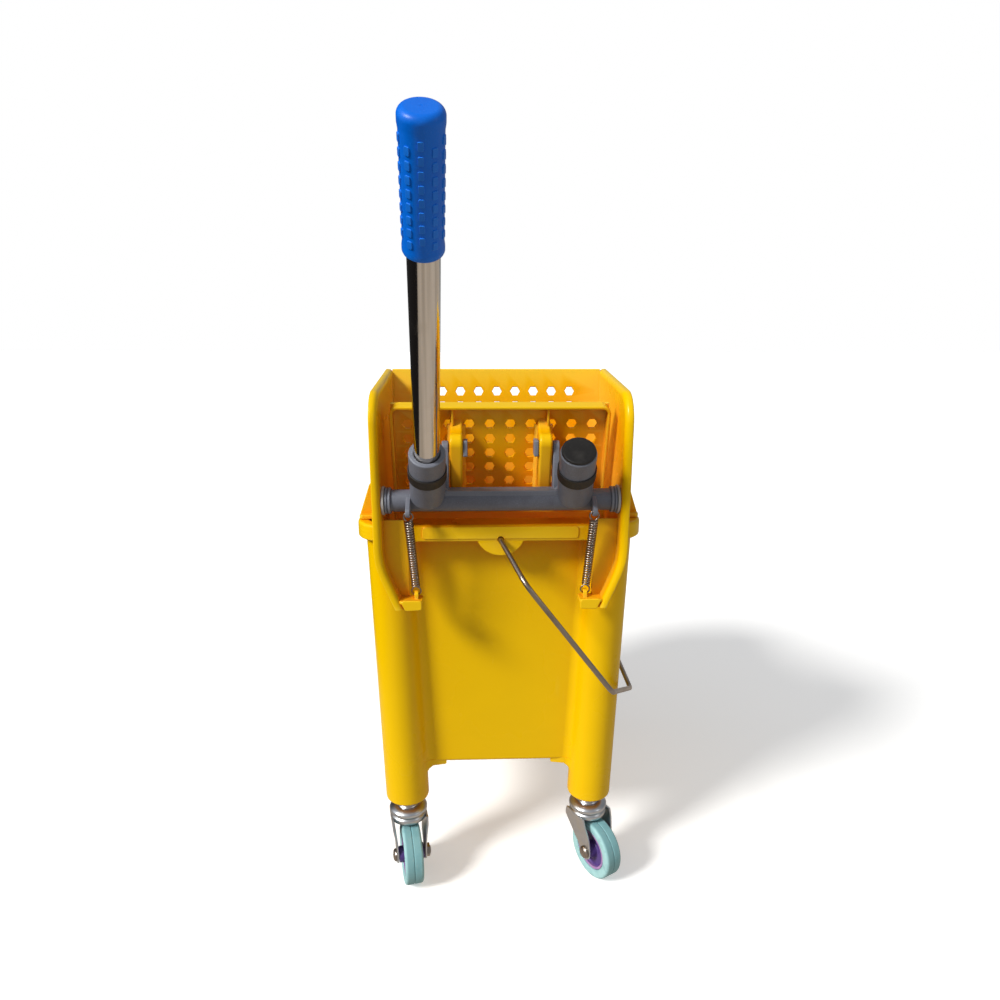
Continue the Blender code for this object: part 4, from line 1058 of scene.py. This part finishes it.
def crank_pin_mesh(side):
    """Pin through the press plate's ear, with a square head on its inner side."""
    start, end = CRANK_PIN_HEAD[1] - 0.001, ARM_X[1] - 0.0004
    shank = rod(CRANK_PIN_R, "X", side * start, side * end, CRANK_PIN, 32)
    y, z = CRANK_PIN
    half = 0.0075
    square = [(y - half, z - half), (y + half, z - half), (y + half, z + half), (y - half, z + half)]
    head = slab(rounded(square, 0.0014), "X", side * CRANK_PIN_HEAD[0], side * CRANK_PIN_HEAD[1], 0.0008)
    return joined(head, shank)


def bush_mesh(side):
    """Flanged bush that carries the shaft in a side wall."""
    bore, barrel = JOURNAL_R + 0.0003, BUSH_HOLE_R - 0.0003
    start, inner, outer = SHAFT_END + 0.0003, SIDE_INNER_X - 0.0003, SIDE_INNER_X + SHEET + 0.0008
    soft = 0.0004
    profile = [(bore, start), (0.0135 - soft, start), (0.0135, start + soft), (0.0135, inner - soft)]
    profile += [(0.0135 - soft, inner), (barrel, inner), (barrel, outer - soft)]
    profile += [(barrel - soft, outer), (bore, outer)]
    return turned(profile, 40, Matrix.Rotation(side * pi / 2, 4, "Y"), ring=True)


def ring_mesh(side):
    inside, outside, low, high = SOCKET_R + 0.0003, 0.0173, 0.0365, 0.0475
    soft = 0.0005
    profile = [(inside, low), (outside - soft, low), (outside, low + soft), (outside, high - soft)]
    profile += [(outside - soft, high), (inside, high)]
    return turned(profile, 64, socket_matrix(side), ring=True)


def cap_mesh():
    """Cap in the unused socket: a flat disc with a rounded edge over a plug."""
    top, plug = SOCKET_LENGTH, SOCKET_BORE_R - 0.0003
    profile = [(0, top - 0.009), (plug, top - 0.009), (plug, top + 0.0003), (0.0148, top + 0.0003)]
    profile += [(0.0150, top + 0.0009), (0.0150, top + 0.0019), (0.0147, top + 0.0026)]
    profile += [(0.0140, top + 0.0030), (0.0120, top + 0.0032), (0, top + 0.0032)]
    return turned(profile, 64, socket_matrix(1))


def grip_pad(angle, low, high, half_width):
    """Raised rectangular pad on the grip's surface."""
    base, top = GRIP_R - 0.0006, GRIP_R + 0.00018
    corner = 0.0007
    outline = [(-half_width, low), (half_width, low), (half_width, high), (-half_width, high)]
    loops = []
    for radius, shrink in ((base, 0), (top - 0.00012, 0.0001), (top, 0.0004)):
        flat = rounded(inset(outline, shrink) if shrink else outline, corner, 3)
        turned_flat = [(angle + u / GRIP_R, v) for u, v in flat]
        loops.append([(radius * cos(a), radius * sin(a), v) for a, v in turned_flat])
    return loft(loops, socket_matrix(-1))


def grip_mesh():
    """Closed grip with a smooth band at each end and staggered pads between them."""
    top, low = LEVER_LENGTH, LEVER_LENGTH - GRIP_LENGTH
    inside, body = TUBE_R + 0.0003, GRIP_R - 0.0005
    profile = [(0, top - 0.0045), (inside, top - 0.0045), (inside, low + 0.0003)]
    profile += [(inside + 0.0006, low), (GRIP_R - 0.0016, low), (GRIP_R - 0.0006, low + 0.0004)]
    profile += [(GRIP_R, low + 0.0018), (GRIP_R, low + 0.0050), (body, low + 0.0085)]
    profile += [(body, top - 0.0120), (GRIP_R, top - 0.0085)]
    edge = 0.0048
    profile += arc((GRIP_R - edge, top - 0.0002 - edge), edge, 0, 90, 10)
    profile += [(0.0012, top - 0.0001), (0.0008, top - 0.0003), (0, top - 0.0003)]
    parts = [turned(profile, 72, socket_matrix(-1))]
    columns, rows, pitch = 10, 8, 0.0083
    first = low + 0.0085
    for column in range(columns):
        stagger = pitch / 2 if column % 2 else 0.0
        for row in range(rows):
            start = first + row * pitch + stagger
            parts.append(grip_pad(2 * pi * (column + 0.5) / columns, start, start + 0.0052, 0.0018))
    return joined(*parts)


def lever_tube_mesh():
    inner, low, high = TUBE_R - 0.0012, 0.0170, LEVER_LENGTH - 0.0050
    profile = [(inner, low), (TUBE_R - 0.0003, low), (TUBE_R, low + 0.0003), (TUBE_R, high), (inner, high)]
    return turned(profile, 72, socket_matrix(-1), ring=True)


# ---- press plate ----------------------------------------------------------------------------------
def plate_ear(side):
    """Wide slotted ear that a crank pin slides in, with a flared root."""
    foot, head = 0.030, 0.0905
    root = PLATE_OFFSET + 0.001
    outline = [(root, foot - 0.010), (root, head + 0.016), (0.009, head + 0.0085)]
    outline += arc((0, head), 0.0095, 75, 180, 14)
    outline += [(-0.0095, foot + 0.006), (-0.004, foot)]
    low, high = sorted((side * EAR_X[0], side * EAR_X[1]))
    ear = slab(outline, "X", low, high, 0.0026, steps=5)
    slot_low, slot_high = EAR_SLOT
    slot = arc((0, slot_high), EAR_SLOT_HALF, 0, 180, 16) + arc((0, slot_low), EAR_SLOT_HALF, 180, 360, 16)
    flare = [(low - 0.0028, root), (low + 0.0006, root - 0.0075)]
    flare += [(low + 0.003, root - 0.0075), (low + 0.003, root)]
    gusset = slab(flare, "Z", foot - 0.008, head + 0.010, 0.0006)
    other = slab([(low + high - x, y) for x, y in flare], "Z", foot - 0.008, head + 0.010, 0.0006)
    return joined(cut(ear, slab(slot, "X", low - 0.01, high + 0.01, 0.0005)), gusset, other)


def plate_surround():
    """Flange round the top and sides of the tray, with rounded corners."""
    half, top, corner = PLATE_HALF_WIDTH - 0.0002, PLATE_TOP, 0.0085
    path = [(-half, 0.034, Vector((1, 0)))]
    for a in range(0, 91, 10):
        out = Vector((-cos(radians(a)), sin(radians(a))))
        path.append((-half + corner + out.x * corner, top - corner + out.y * corner, -out))
    for a in range(90, -1, -10):
        out = Vector((cos(radians(a)), sin(radians(a))))
        path.append((half - corner + out.x * corner, top - corner + out.y * corner, -out))
    path.append((half, 0.034, Vector((-1, 0))))
    front, back, thick = 0.0105, PLATE_OFFSET + SHEET - 0.0002, 0.0030
    section = rounded([(0, front), (thick, front), (thick, back), (0, back)], 0.0010, 3)
    loops = []
    for x, z, inward in path:
        loops.append([(x + inward.x * d, y, z + inward.y * d) for d, y in section])
    return loft(loops)


def plate_side(side):
    """Side flange reaching forward to the hinge at its foot."""
    outline = [(PLATE_OFFSET + 0.0026, PLATE_FOOT + 0.0002), (PLATE_OFFSET + 0.0026, 0.060)]
    outline += [(0.0112, 0.060), (0.0112, 0.038), (-0.0045, 0.010)]
    outline += arc((0, 0), 0.0065, 170, 290, 14)
    high = PLATE_HALF_WIDTH - 0.0005
    return slab(outline, "X", side * (high - 0.0026), side * high, 0.0007)


def plate_rib(x, low, high):
    half = 0.0011
    front, back = PLATE_OFFSET - 0.008, PLATE_OFFSET + 0.001
    return block((x - half, front, low), (x + half, back, high), 0.0005, 0.0007)


def plate_mesh():
    edge = PLATE_HALF_WIDTH - 0.0009
    rows = [0.0255 + i * HOLE_PITCH_Z for i in range(6)]
    span = (PLATE_FOOT, PLATE_TOP - 0.0008)
    place = Matrix.Translation((0, PLATE_OFFSET, 0))
    sheet = perforated((-edge, edge), span, centred(10, HOLE_PITCH_X), rows, SHEET, place)
    parts = [sheet, plate_surround()]
    for side in (-1, 1):
        parts += [plate_side(side), plate_ear(side), plate_rib(side * 0.0447, 0.098, 0.1205)]
        trunnion = (side * (edge - 0.001), side * (SIDE_INNER_X + SHEET + 0.001))
        parts.append(rod(0.0040, "X", *trunnion, count=24))
    return joined(*parts)


# ---- springs and bail -----------------------------------------------------------------------------
def spring_frame(side):
    """Frame at a spring's lower hook whose Z runs to the lug on the shaft, and the spring's length."""
    x, y, z = SPRING_HOOK
    bottom = Vector((side * x, y, z))
    top = Vector((side * SPRING_LUG_X, SPRING_LUG[0], SHAFT_Z + SPRING_LUG[1]))
    line = top - bottom
    turn = Vector((0, 0, 1)).rotation_difference(line.normalized()).to_matrix().to_4x4()
    return Matrix.Translation(bottom) @ turn, line.length, bottom, top


def spring_path(length):
    """End loop, close coil, end loop, as one wire."""
    coil_r = SPRING_R - SPRING_WIRE_R
    low, high = 2 * SPRING_LOOP_R + 0.0006, length - 2 * SPRING_LOOP_R - 0.0006
    steps = 16
    flat = arc((0, SPRING_LOOP_R), SPRING_LOOP_R, -240, 75, 21)
    loop = [Vector((x, 0, z)) for x, z in flat]
    points = list(loop)
    points.append(Vector((coil_r * 0.55, 0.0004, low - 0.0006)))
    for i in range(SPRING_TURNS * steps + 1):
        angle = 2 * pi * i / steps
        height = low + (high - low) * i / (SPRING_TURNS * steps)
        points.append(Vector((coil_r * cos(angle), coil_r * sin(angle), height)))
    points.append(Vector((coil_r * 0.55, -0.0004, high + 0.0006)))
    points += [Vector((spot.x, 0, length - spot.z)) for spot in reversed(loop)]
    return points


def rounded_path(corners, steps=10):
    """Points of a path through (x, y, radius) corners, each rounded to its radius."""
    path = [Vector(corners[0][:2])]
    for before, here, after in zip(corners, corners[1:], corners[2:]):
        point = Vector(here[:2])
        into = (Vector(before[:2]) - point).normalized()
        away = (Vector(after[:2]) - point).normalized()
        half = into.angle(away) / 2
        reach = here[2] / (sin(half) / cos(half))
        hub = point + (into + away).normalized() * (here[2] / sin(half))
        first, last = point + into * reach - hub, point + away * reach - hub
        turn = atan2(first.x * last.y - first.y * last.x, first.dot(last))
        for i in range(steps + 1):
            path.append(hub + Matrix.Rotation(turn * i / steps, 2) @ first)
    path.append(Vector(corners[-1][:2]))
    return path


def bail_mesh():
    """Wire bail in its own plane: X is the reach from the pivots, Y runs along the bucket."""
    rim = MID_Y - RIM_NEAR_Y
    reach, splay = BAIL_ARM
    grip_reach, grip_half = BAIL_GRIP
    shoulder, flare = BAIL_SHOULDER
    half = [(-0.009, rim - 0.0105, 0), (0.0, rim - 0.0105, 0.0045), (0.0, rim + 0.0040, 0.006)]
    half += [(shoulder, rim + flare, 0.020), (reach, rim + splay, 0.012), (grip_reach, grip_half, 0.020)]
    corners = [(x, -y, r) for x, y, r in half] + [(x, y, r) for x, y, r in reversed(half)]
    return tube([(spot.x, spot.y, 0) for spot in rounded_path(corners)], BAIL_WIRE_R * 0.99, 24)


# ---- casters --------------------------------------------------------------------------------------
def stem_mesh():
    """Stem with the hexagon nut and washer under the leg."""
    low, high = CUP_TOP_Z + 0.0003, LEG_BOTTOM_Z - 0.0003
    profile = [(0, low + 0.001), (STEM_R, low + 0.001), (STEM_R, STEM_TOP_Z - 0.0020)]
    profile += [(STEM_R - 0.0015, STEM_TOP_Z), (0, STEM_TOP_Z)]
    nut = slab(circle(0.0098, 6), "Z", low + 0.0022, high, 0.0007)
    washer = rod(0.0115, "Z", low, low + 0.0020, count=48)
    return joined(turned(profile, 32), nut, washer)


def cup_mesh():
    """Upper race of the swivel: a dished ring with a groove where it meets the crown."""
    low, top = CROWN_Z[1] + 0.0003, CUP_TOP_Z
    profile = [(0, low), (CUP_R - 0.0030, low), (CUP_R - 0.0026, low + 0.0012)]
    profile += [(CUP_R - 0.0004, low + 0.0020)]
    profile += [(CUP_R, low + 0.0027), (CUP_R, low + 0.0048), (CUP_R - 0.0006, low + 0.0060)]
    profile += [(CUP_R - 0.0022, low + 0.0074), (CUP_R - 0.0046, top - 0.0009)]
    profile += [(CUP_R - 0.0070, top - 0.0004), (0.0115, top - 0.0012), (0.0105, top), (0, top)]
    return turned(profile, 64)


def fork_mesh():
    """Crown and two plates, drawn on the swivel's axis with the wheel trailing towards -Y."""
    low, high = CROWN_Z
    edge = CUP_R - 0.0005
    profile = [(0, low), (edge - 0.0060, low), (edge - 0.0022, low + 0.0005), (edge - 0.0005, low + 0.0018)]
    profile += [(edge, low + 0.0034), (edge, high - 0.0026), (edge - 0.0005, high - 0.0012)]
    profile += [(edge - 0.0020, high), (0, high)]
    parts = [turned(profile, 64)]
    levels = [(high - 0.0016, -0.0165, 0.0130, 0.0034), (low + 0.0025, -0.0180, 0.0142, 0.0034)]
    levels += [(0.0640, -0.0195, 0.0150, 0.0031), (0.0580, -0.0215, 0.0125, 0.0020)]
    levels += [(0.0520, -0.0232, 0.0085, 0.0009), (0.0450, -0.0247, 0.0030, 0.0002)]
    levels += [(0.0380, -0.0256, -0.0045, 0), (0.0340, -0.0259, -0.0085, 0), (0.0310, -0.0259, -0.0091, 0)]
    levels += [(0.0280, -0.0251, -0.0099, 0), (0.0257, -0.0235, -0.0115, 0), (0.0242, -0.0212, -0.0138, 0)]
    levels += [(0.0235, -0.0190, -0.0160, 0)]
    for side in (-1, 1):
        loops = []
        for z, near, away, flare in levels:
            inner, outer = side * (FORK_HALF - FORK_PLATE + flare), side * (FORK_HALF + flare)
            section = rounded([(inner, near), (outer, near), (outer, away), (inner, away)], 0.0007, 3)
            loops.append([(x, y, z) for x, y in section])
        parts.append(loft(loops))
    return joined(*parts)


def axle_mesh():
    """Axle bolt with a domed head and a hexagon nut, along X on the wheel's axis."""
    outside = FORK_HALF + 0.0003
    spin = Matrix.Rotation(-pi / 2, 4, "Y")
    head = turned([(0, outside), (0.0066, outside), (0.0068, outside + 0.0006), (0.0062, outside + 0.0020),
                   (0.0044, outside + 0.0031), (0.0018, outside + 0.0035), (0, outside + 0.0035)], 40, spin)
    nut = slab(circle(0.0070, 6), "X", outside, outside + 0.0036, 0.0006)
    bolt = rod(AXLE_R, "X", -outside - 0.001, outside + 0.0045, (0, 0), 32)
    return joined(head, nut, bolt)


def hub_mesh():
    bore = AXLE_R + 0.0003
    web, hub, face, seat = 0.005, 0.0135, 0.0085, HUB_R - 0.0025
    right = [(bore, hub), (0.0080, hub), (0.0085, hub - 0.0005), (0.0088, web + 0.0010), (0.0098, web)]
    right += [(seat - 0.0010, web), (seat - 0.0002, web + 0.0008), (seat, face - 0.0004)]
    right += [(seat + 0.0004, face), (HUB_R, face)]
    left = [(r, -x) for r, x in reversed(right)]
    return turned(right + left, 56, Matrix.Rotation(pi / 2, 4, "Y"), ring=True)


def tyre_mesh():
    """Tyre with rounded shoulders and a fine groove round the middle of its tread."""
    inside = HUB_R + 0.0003
    shoulder = 0.0030
    right = [(inside, WHEEL_HALF - 0.0018), (inside + 0.0006, WHEEL_HALF - 0.0008)]
    right += [(inside + 0.0024, WHEEL_HALF - 0.0002), (WHEEL_R - 0.0052, WHEEL_HALF)]
    right += arc((WHEEL_R - shoulder, WHEEL_HALF - shoulder), shoulder, 90, 0, 6)
    right += [(WHEEL_R, 0.0010), (WHEEL_R - 0.0003, 0.0005), (WHEEL_R - 0.0008, 0.0002)]
    left = [(r, -x) for r, x in reversed(right)]
    return turned(right + left, 96, Matrix.Rotation(pi / 2, 4, "Y"), ring=True)


# ---- assembly -------------------------------------------------------------------------------------
def show_crank():
    shaft = Matrix.Translation((0, 0, SHAFT_Z))
    show("crank_shaft_look", crank_mesh(), "grey_plastic", "crank", shaft)
    for side, word in SIDES:
        show(f"crank_pin_{word}_look", crank_pin_mesh(side), "grey_plastic", "crank", shaft)
        show(f"socket_ring_{word}_look", ring_mesh(side), "black_rubber", "crank", shaft)
        show(f"shaft_bush_{word}_look", bush_mesh(side), "white_plastic", "wringer", shaft)
    show("socket_cap_look", cap_mesh(), "black_rubber", "crank", shaft)
    show("lever_tube_look", lever_tube_mesh(), "chrome", "crank", shaft)
    show("lever_grip_look", grip_mesh(), "blue_plastic", "crank", shaft, sharp=30)


def show_springs():
    for side, word in SIDES:
        place, length, bottom, top = spring_frame(side)
        mesh = tube(spring_path(length), SPRING_WIRE_R, 8)
        mesh.transform(place)
        line = (top - bottom).normalized()
        start = top - line * 0.014
        show(f"return_spring_{word}_look", mesh, "steel", ("wringer", "crank"), blend=(start, top), sharp=60)


def show_casters():
    for name, x_sign, far in (("near_left", -1, False), ("near_right", 1, False),
                              ("far_left", -1, True), ("far_right", 1, True)):
        x, y = caster_place(x_sign, far)
        mount = Matrix.Translation((x, y, 0))
        swivel = mount @ Matrix.Rotation(radians(CASTER_YAW[name]), 4, "Z")
        axle = swivel @ Matrix.Translation((0, -CASTER_TRAIL, WHEEL_R))
        title = f"caster_{name}"
        show(f"{title}_stem_look", stem_mesh(), "zinc", "bucket", mount)
        show(f"{title}_cup_look", cup_mesh(), "zinc", "bucket", mount)
        show(f"{title}_fork_look", fork_mesh(), "zinc", title, swivel)
        show(f"{title}_axle_bolt_look", axle_mesh(), "steel", title, axle)
        show(f"{title}_hub_look", hub_mesh(), "hub_plastic", f"wheel_{name}", axle)
        show(f"{title}_tyre_look", tyre_mesh(), "tyre", f"wheel_{name}", axle)


def show_trolley():
    show("bucket_shell_look", bucket_mesh(), "yellow_plastic", "bucket")
    show("wringer_frame_look", wringer_mesh(), "yellow_plastic", "wringer")
    hinge = Matrix.Translation((0, *PLATE_HINGE)) @ Matrix.Rotation(PLATE_LEAN, 4, "X")
    show("press_plate_look", plate_mesh(), "yellow_plastic", "plate", hinge)
    show_crank()
    show_springs()
    bail = bail_mesh()
    bail.transform(Matrix.Rotation(BAIL_ANGLE, 4, "Y"))
    show("bail_handle_look", bail, "steel", "bail", Matrix.Translation((0, MID_Y, BAIL_PIVOT_Z)))
    show_casters()


# ---- studio ---------------------------------------------------------------------------------------
def floor_finish():
    made = Finish("studio_floor", (0.90, 0.90, 0.90), 0.75)
    made.tint((0.87, 0.87, 0.87), made.band(made.noise(3, 3), 0.4, 0.7, 0, 0.5))
    made.gloss(made.noise(6, 2), 0.1)
    return made.done(Emission_Color=(1, 1, 1, 1), Emission_Strength=FLOOR_GLOW)


def studio_floor():
    """Pale floor that runs out to the horizon."""
    solid = bmesh.new()
    bmesh.ops.create_grid(solid, x_segments=2, y_segments=2, size=FLOOR_REACH)
    floor = bpy.data.objects.new("studio_floor", to_mesh(solid))
    bpy.context.scene.collection.objects.link(floor)
    floor.location.z = CAD_BOX[0].z - 0.0002
    floor.data.materials.append(floor_finish())
    floor.visible_diffuse = False
    floor.visible_glossy = False


def reflected_ground():
    """Duller ground with a dark side to the left: what the object mirrors and is lit by from below."""
    solid = bmesh.new()
    bmesh.ops.create_grid(solid, x_segments=2, y_segments=2, size=4)
    ground = bpy.data.objects.new("studio_reflected_ground", to_mesh(solid))
    bpy.context.scene.collection.objects.link(ground)
    ground.location.z = CAD_BOX[0].z - 0.0012
    made = Finish("studio_reflected_ground", GROUND_COLOUR, 1.0)
    across = made.node("ShaderNodeSeparateXYZ")
    made.link(made.place, across.inputs[0])
    made.tint(GROUND_LIGHT, made.band(made.noise(2.3, 2), 0.4, 0.6, 0, 0.6))
    made.tint((0.004, 0.003, 0.003), made.band(across.outputs["X"], -0.47, -0.53))
    made.gloss(made.noise(5, 2), -0.1)
    made.link(made.colour, made.shader.inputs["Emission Color"])
    ground.data.materials.append(made.done(Emission_Strength=1.0))
    ground.visible_camera = False
    ground.visible_shadow = False


def add_light(kind, name, place, power, colour, **values):
    """Light at a place, aimed at the middle of the wringer end."""
    data = bpy.data.lights.new(name, kind)
    data.energy = power
    data.color = colour
    for key, value in values.items():
        setattr(data, key, value)
    light = bpy.data.objects.new(name, data)
    bpy.context.scene.collection.objects.link(light)
    light.location = place
    light.rotation_euler = (Vector(LIGHT_TARGET) - Vector(place)).to_track_quat("-Z", "Y").to_euler()


def studio_world():
    """Soft white surroundings, dimmer to the right and dark behind on the left, for bright metal."""
    world = bpy.data.worlds.new("studio")
    world.use_nodes = True
    tree = world.node_tree
    tree.nodes.clear()
    make, join = tree.nodes.new, tree.links.new
    place, split = make("ShaderNodeTexCoord"), make("ShaderNodeSeparateXYZ")
    join(place.outputs["Generated"], split.inputs[0])
    shares = []
    for axis, low, high in (("X", -0.30, 0.05), ("Y", 0.45, 0.10)):
        edge = make("ShaderNodeMapRange")
        edge.inputs["From Min"].default_value = low
        edge.inputs["From Max"].default_value = high
        join(split.outputs[axis], edge.inputs["Value"])
        shares.append(edge.outputs[0])
    lit = make("ShaderNodeMath")
    lit.operation = "MAXIMUM"
    join(shares[0], lit.inputs[0])
    join(shares[1], lit.inputs[1])
    side = make("ShaderNodeMapRange")
    side.inputs["From Min"].default_value = -0.6
    side.inputs["From Max"].default_value = 0.8
    side.inputs["To Min"].default_value = 1.25
    side.inputs["To Max"].default_value = 0.55
    join(split.outputs["X"], side.inputs["Value"])
    shaded = make("ShaderNodeMath")
    shaded.operation = "MULTIPLY"
    join(lit.outputs[0], shaded.inputs[0])
    join(side.outputs[0], shaded.inputs[1])
    strength = make("ShaderNodeMapRange")
    strength.clamp = False
    strength.inputs["To Min"].default_value = WORLD_DARK
    strength.inputs["To Max"].default_value = WORLD_LIGHT
    join(shaded.outputs[0], strength.inputs["Value"])
    sky, seen = make("ShaderNodeBackground"), make("ShaderNodeBackground")
    sky.inputs["Color"].default_value = (0.95, 0.97, 1.0, 1)
    join(strength.outputs[0], sky.inputs["Strength"])
    seen.inputs["Color"].default_value = (1, 1, 1, 1)
    mix, path, out = make("ShaderNodeMixShader"), make("ShaderNodeLightPath"), make("ShaderNodeOutputWorld")
    join(path.outputs["Is Camera Ray"], mix.inputs["Fac"])
    join(sky.outputs[0], mix.inputs[1])
    join(seen.outputs[0], mix.inputs[2])
    join(mix.outputs[0], out.inputs["Surface"])
    bpy.context.scene.world = world


def studio_camera():
    """Viewpoint close in front of the wringer end, looking down a little."""
    data = bpy.data.cameras.new("camera")
    data.lens = CAMERA_LENS
    data.sensor_width = 36
    data.clip_start = 0.05
    camera = bpy.data.objects.new("camera", data)
    bpy.context.scene.collection.objects.link(camera)
    yaw, pitch, roll = CAMERA_TURN
    turn = Matrix.Rotation(yaw, 4, "Z") @ Matrix.Rotation(pitch, 4, "X") @ Matrix.Rotation(roll, 4, "Z")
    camera.matrix_world = LAYOUT @ Matrix.Translation(CAMERA_PLACE) @ turn
    bpy.context.scene.camera = camera


def studio():
    studio_floor()
    reflected_ground()
    add_light("SUN", "key", KEY_PLACE, KEY_POWER, (1.0, 0.985, 0.95), angle=radians(14))
    add_light("AREA", "gleam", GLEAM_PLACE, GLEAM_POWER, (1, 1, 1), shape="RECTANGLE", size=0.5, size_y=0.9)
    studio_world()
    studio_camera()
    bpy.context.scene.view_settings.view_transform = "Standard"


FINISHES = {
    "yellow_plastic": yellow_finish(),
    "grey_plastic": grey_finish(),
    "black_rubber": rubber_finish(),
    "chrome": chrome_finish(),
    "blue_plastic": blue_finish(),
    "steel": steel_finish(),
    "zinc": zinc_finish(),
    "tyre": tyre_finish(),
    "hub_plastic": hub_finish(),
    "white_plastic": white_finish(),
}
show_trolley()
studio()
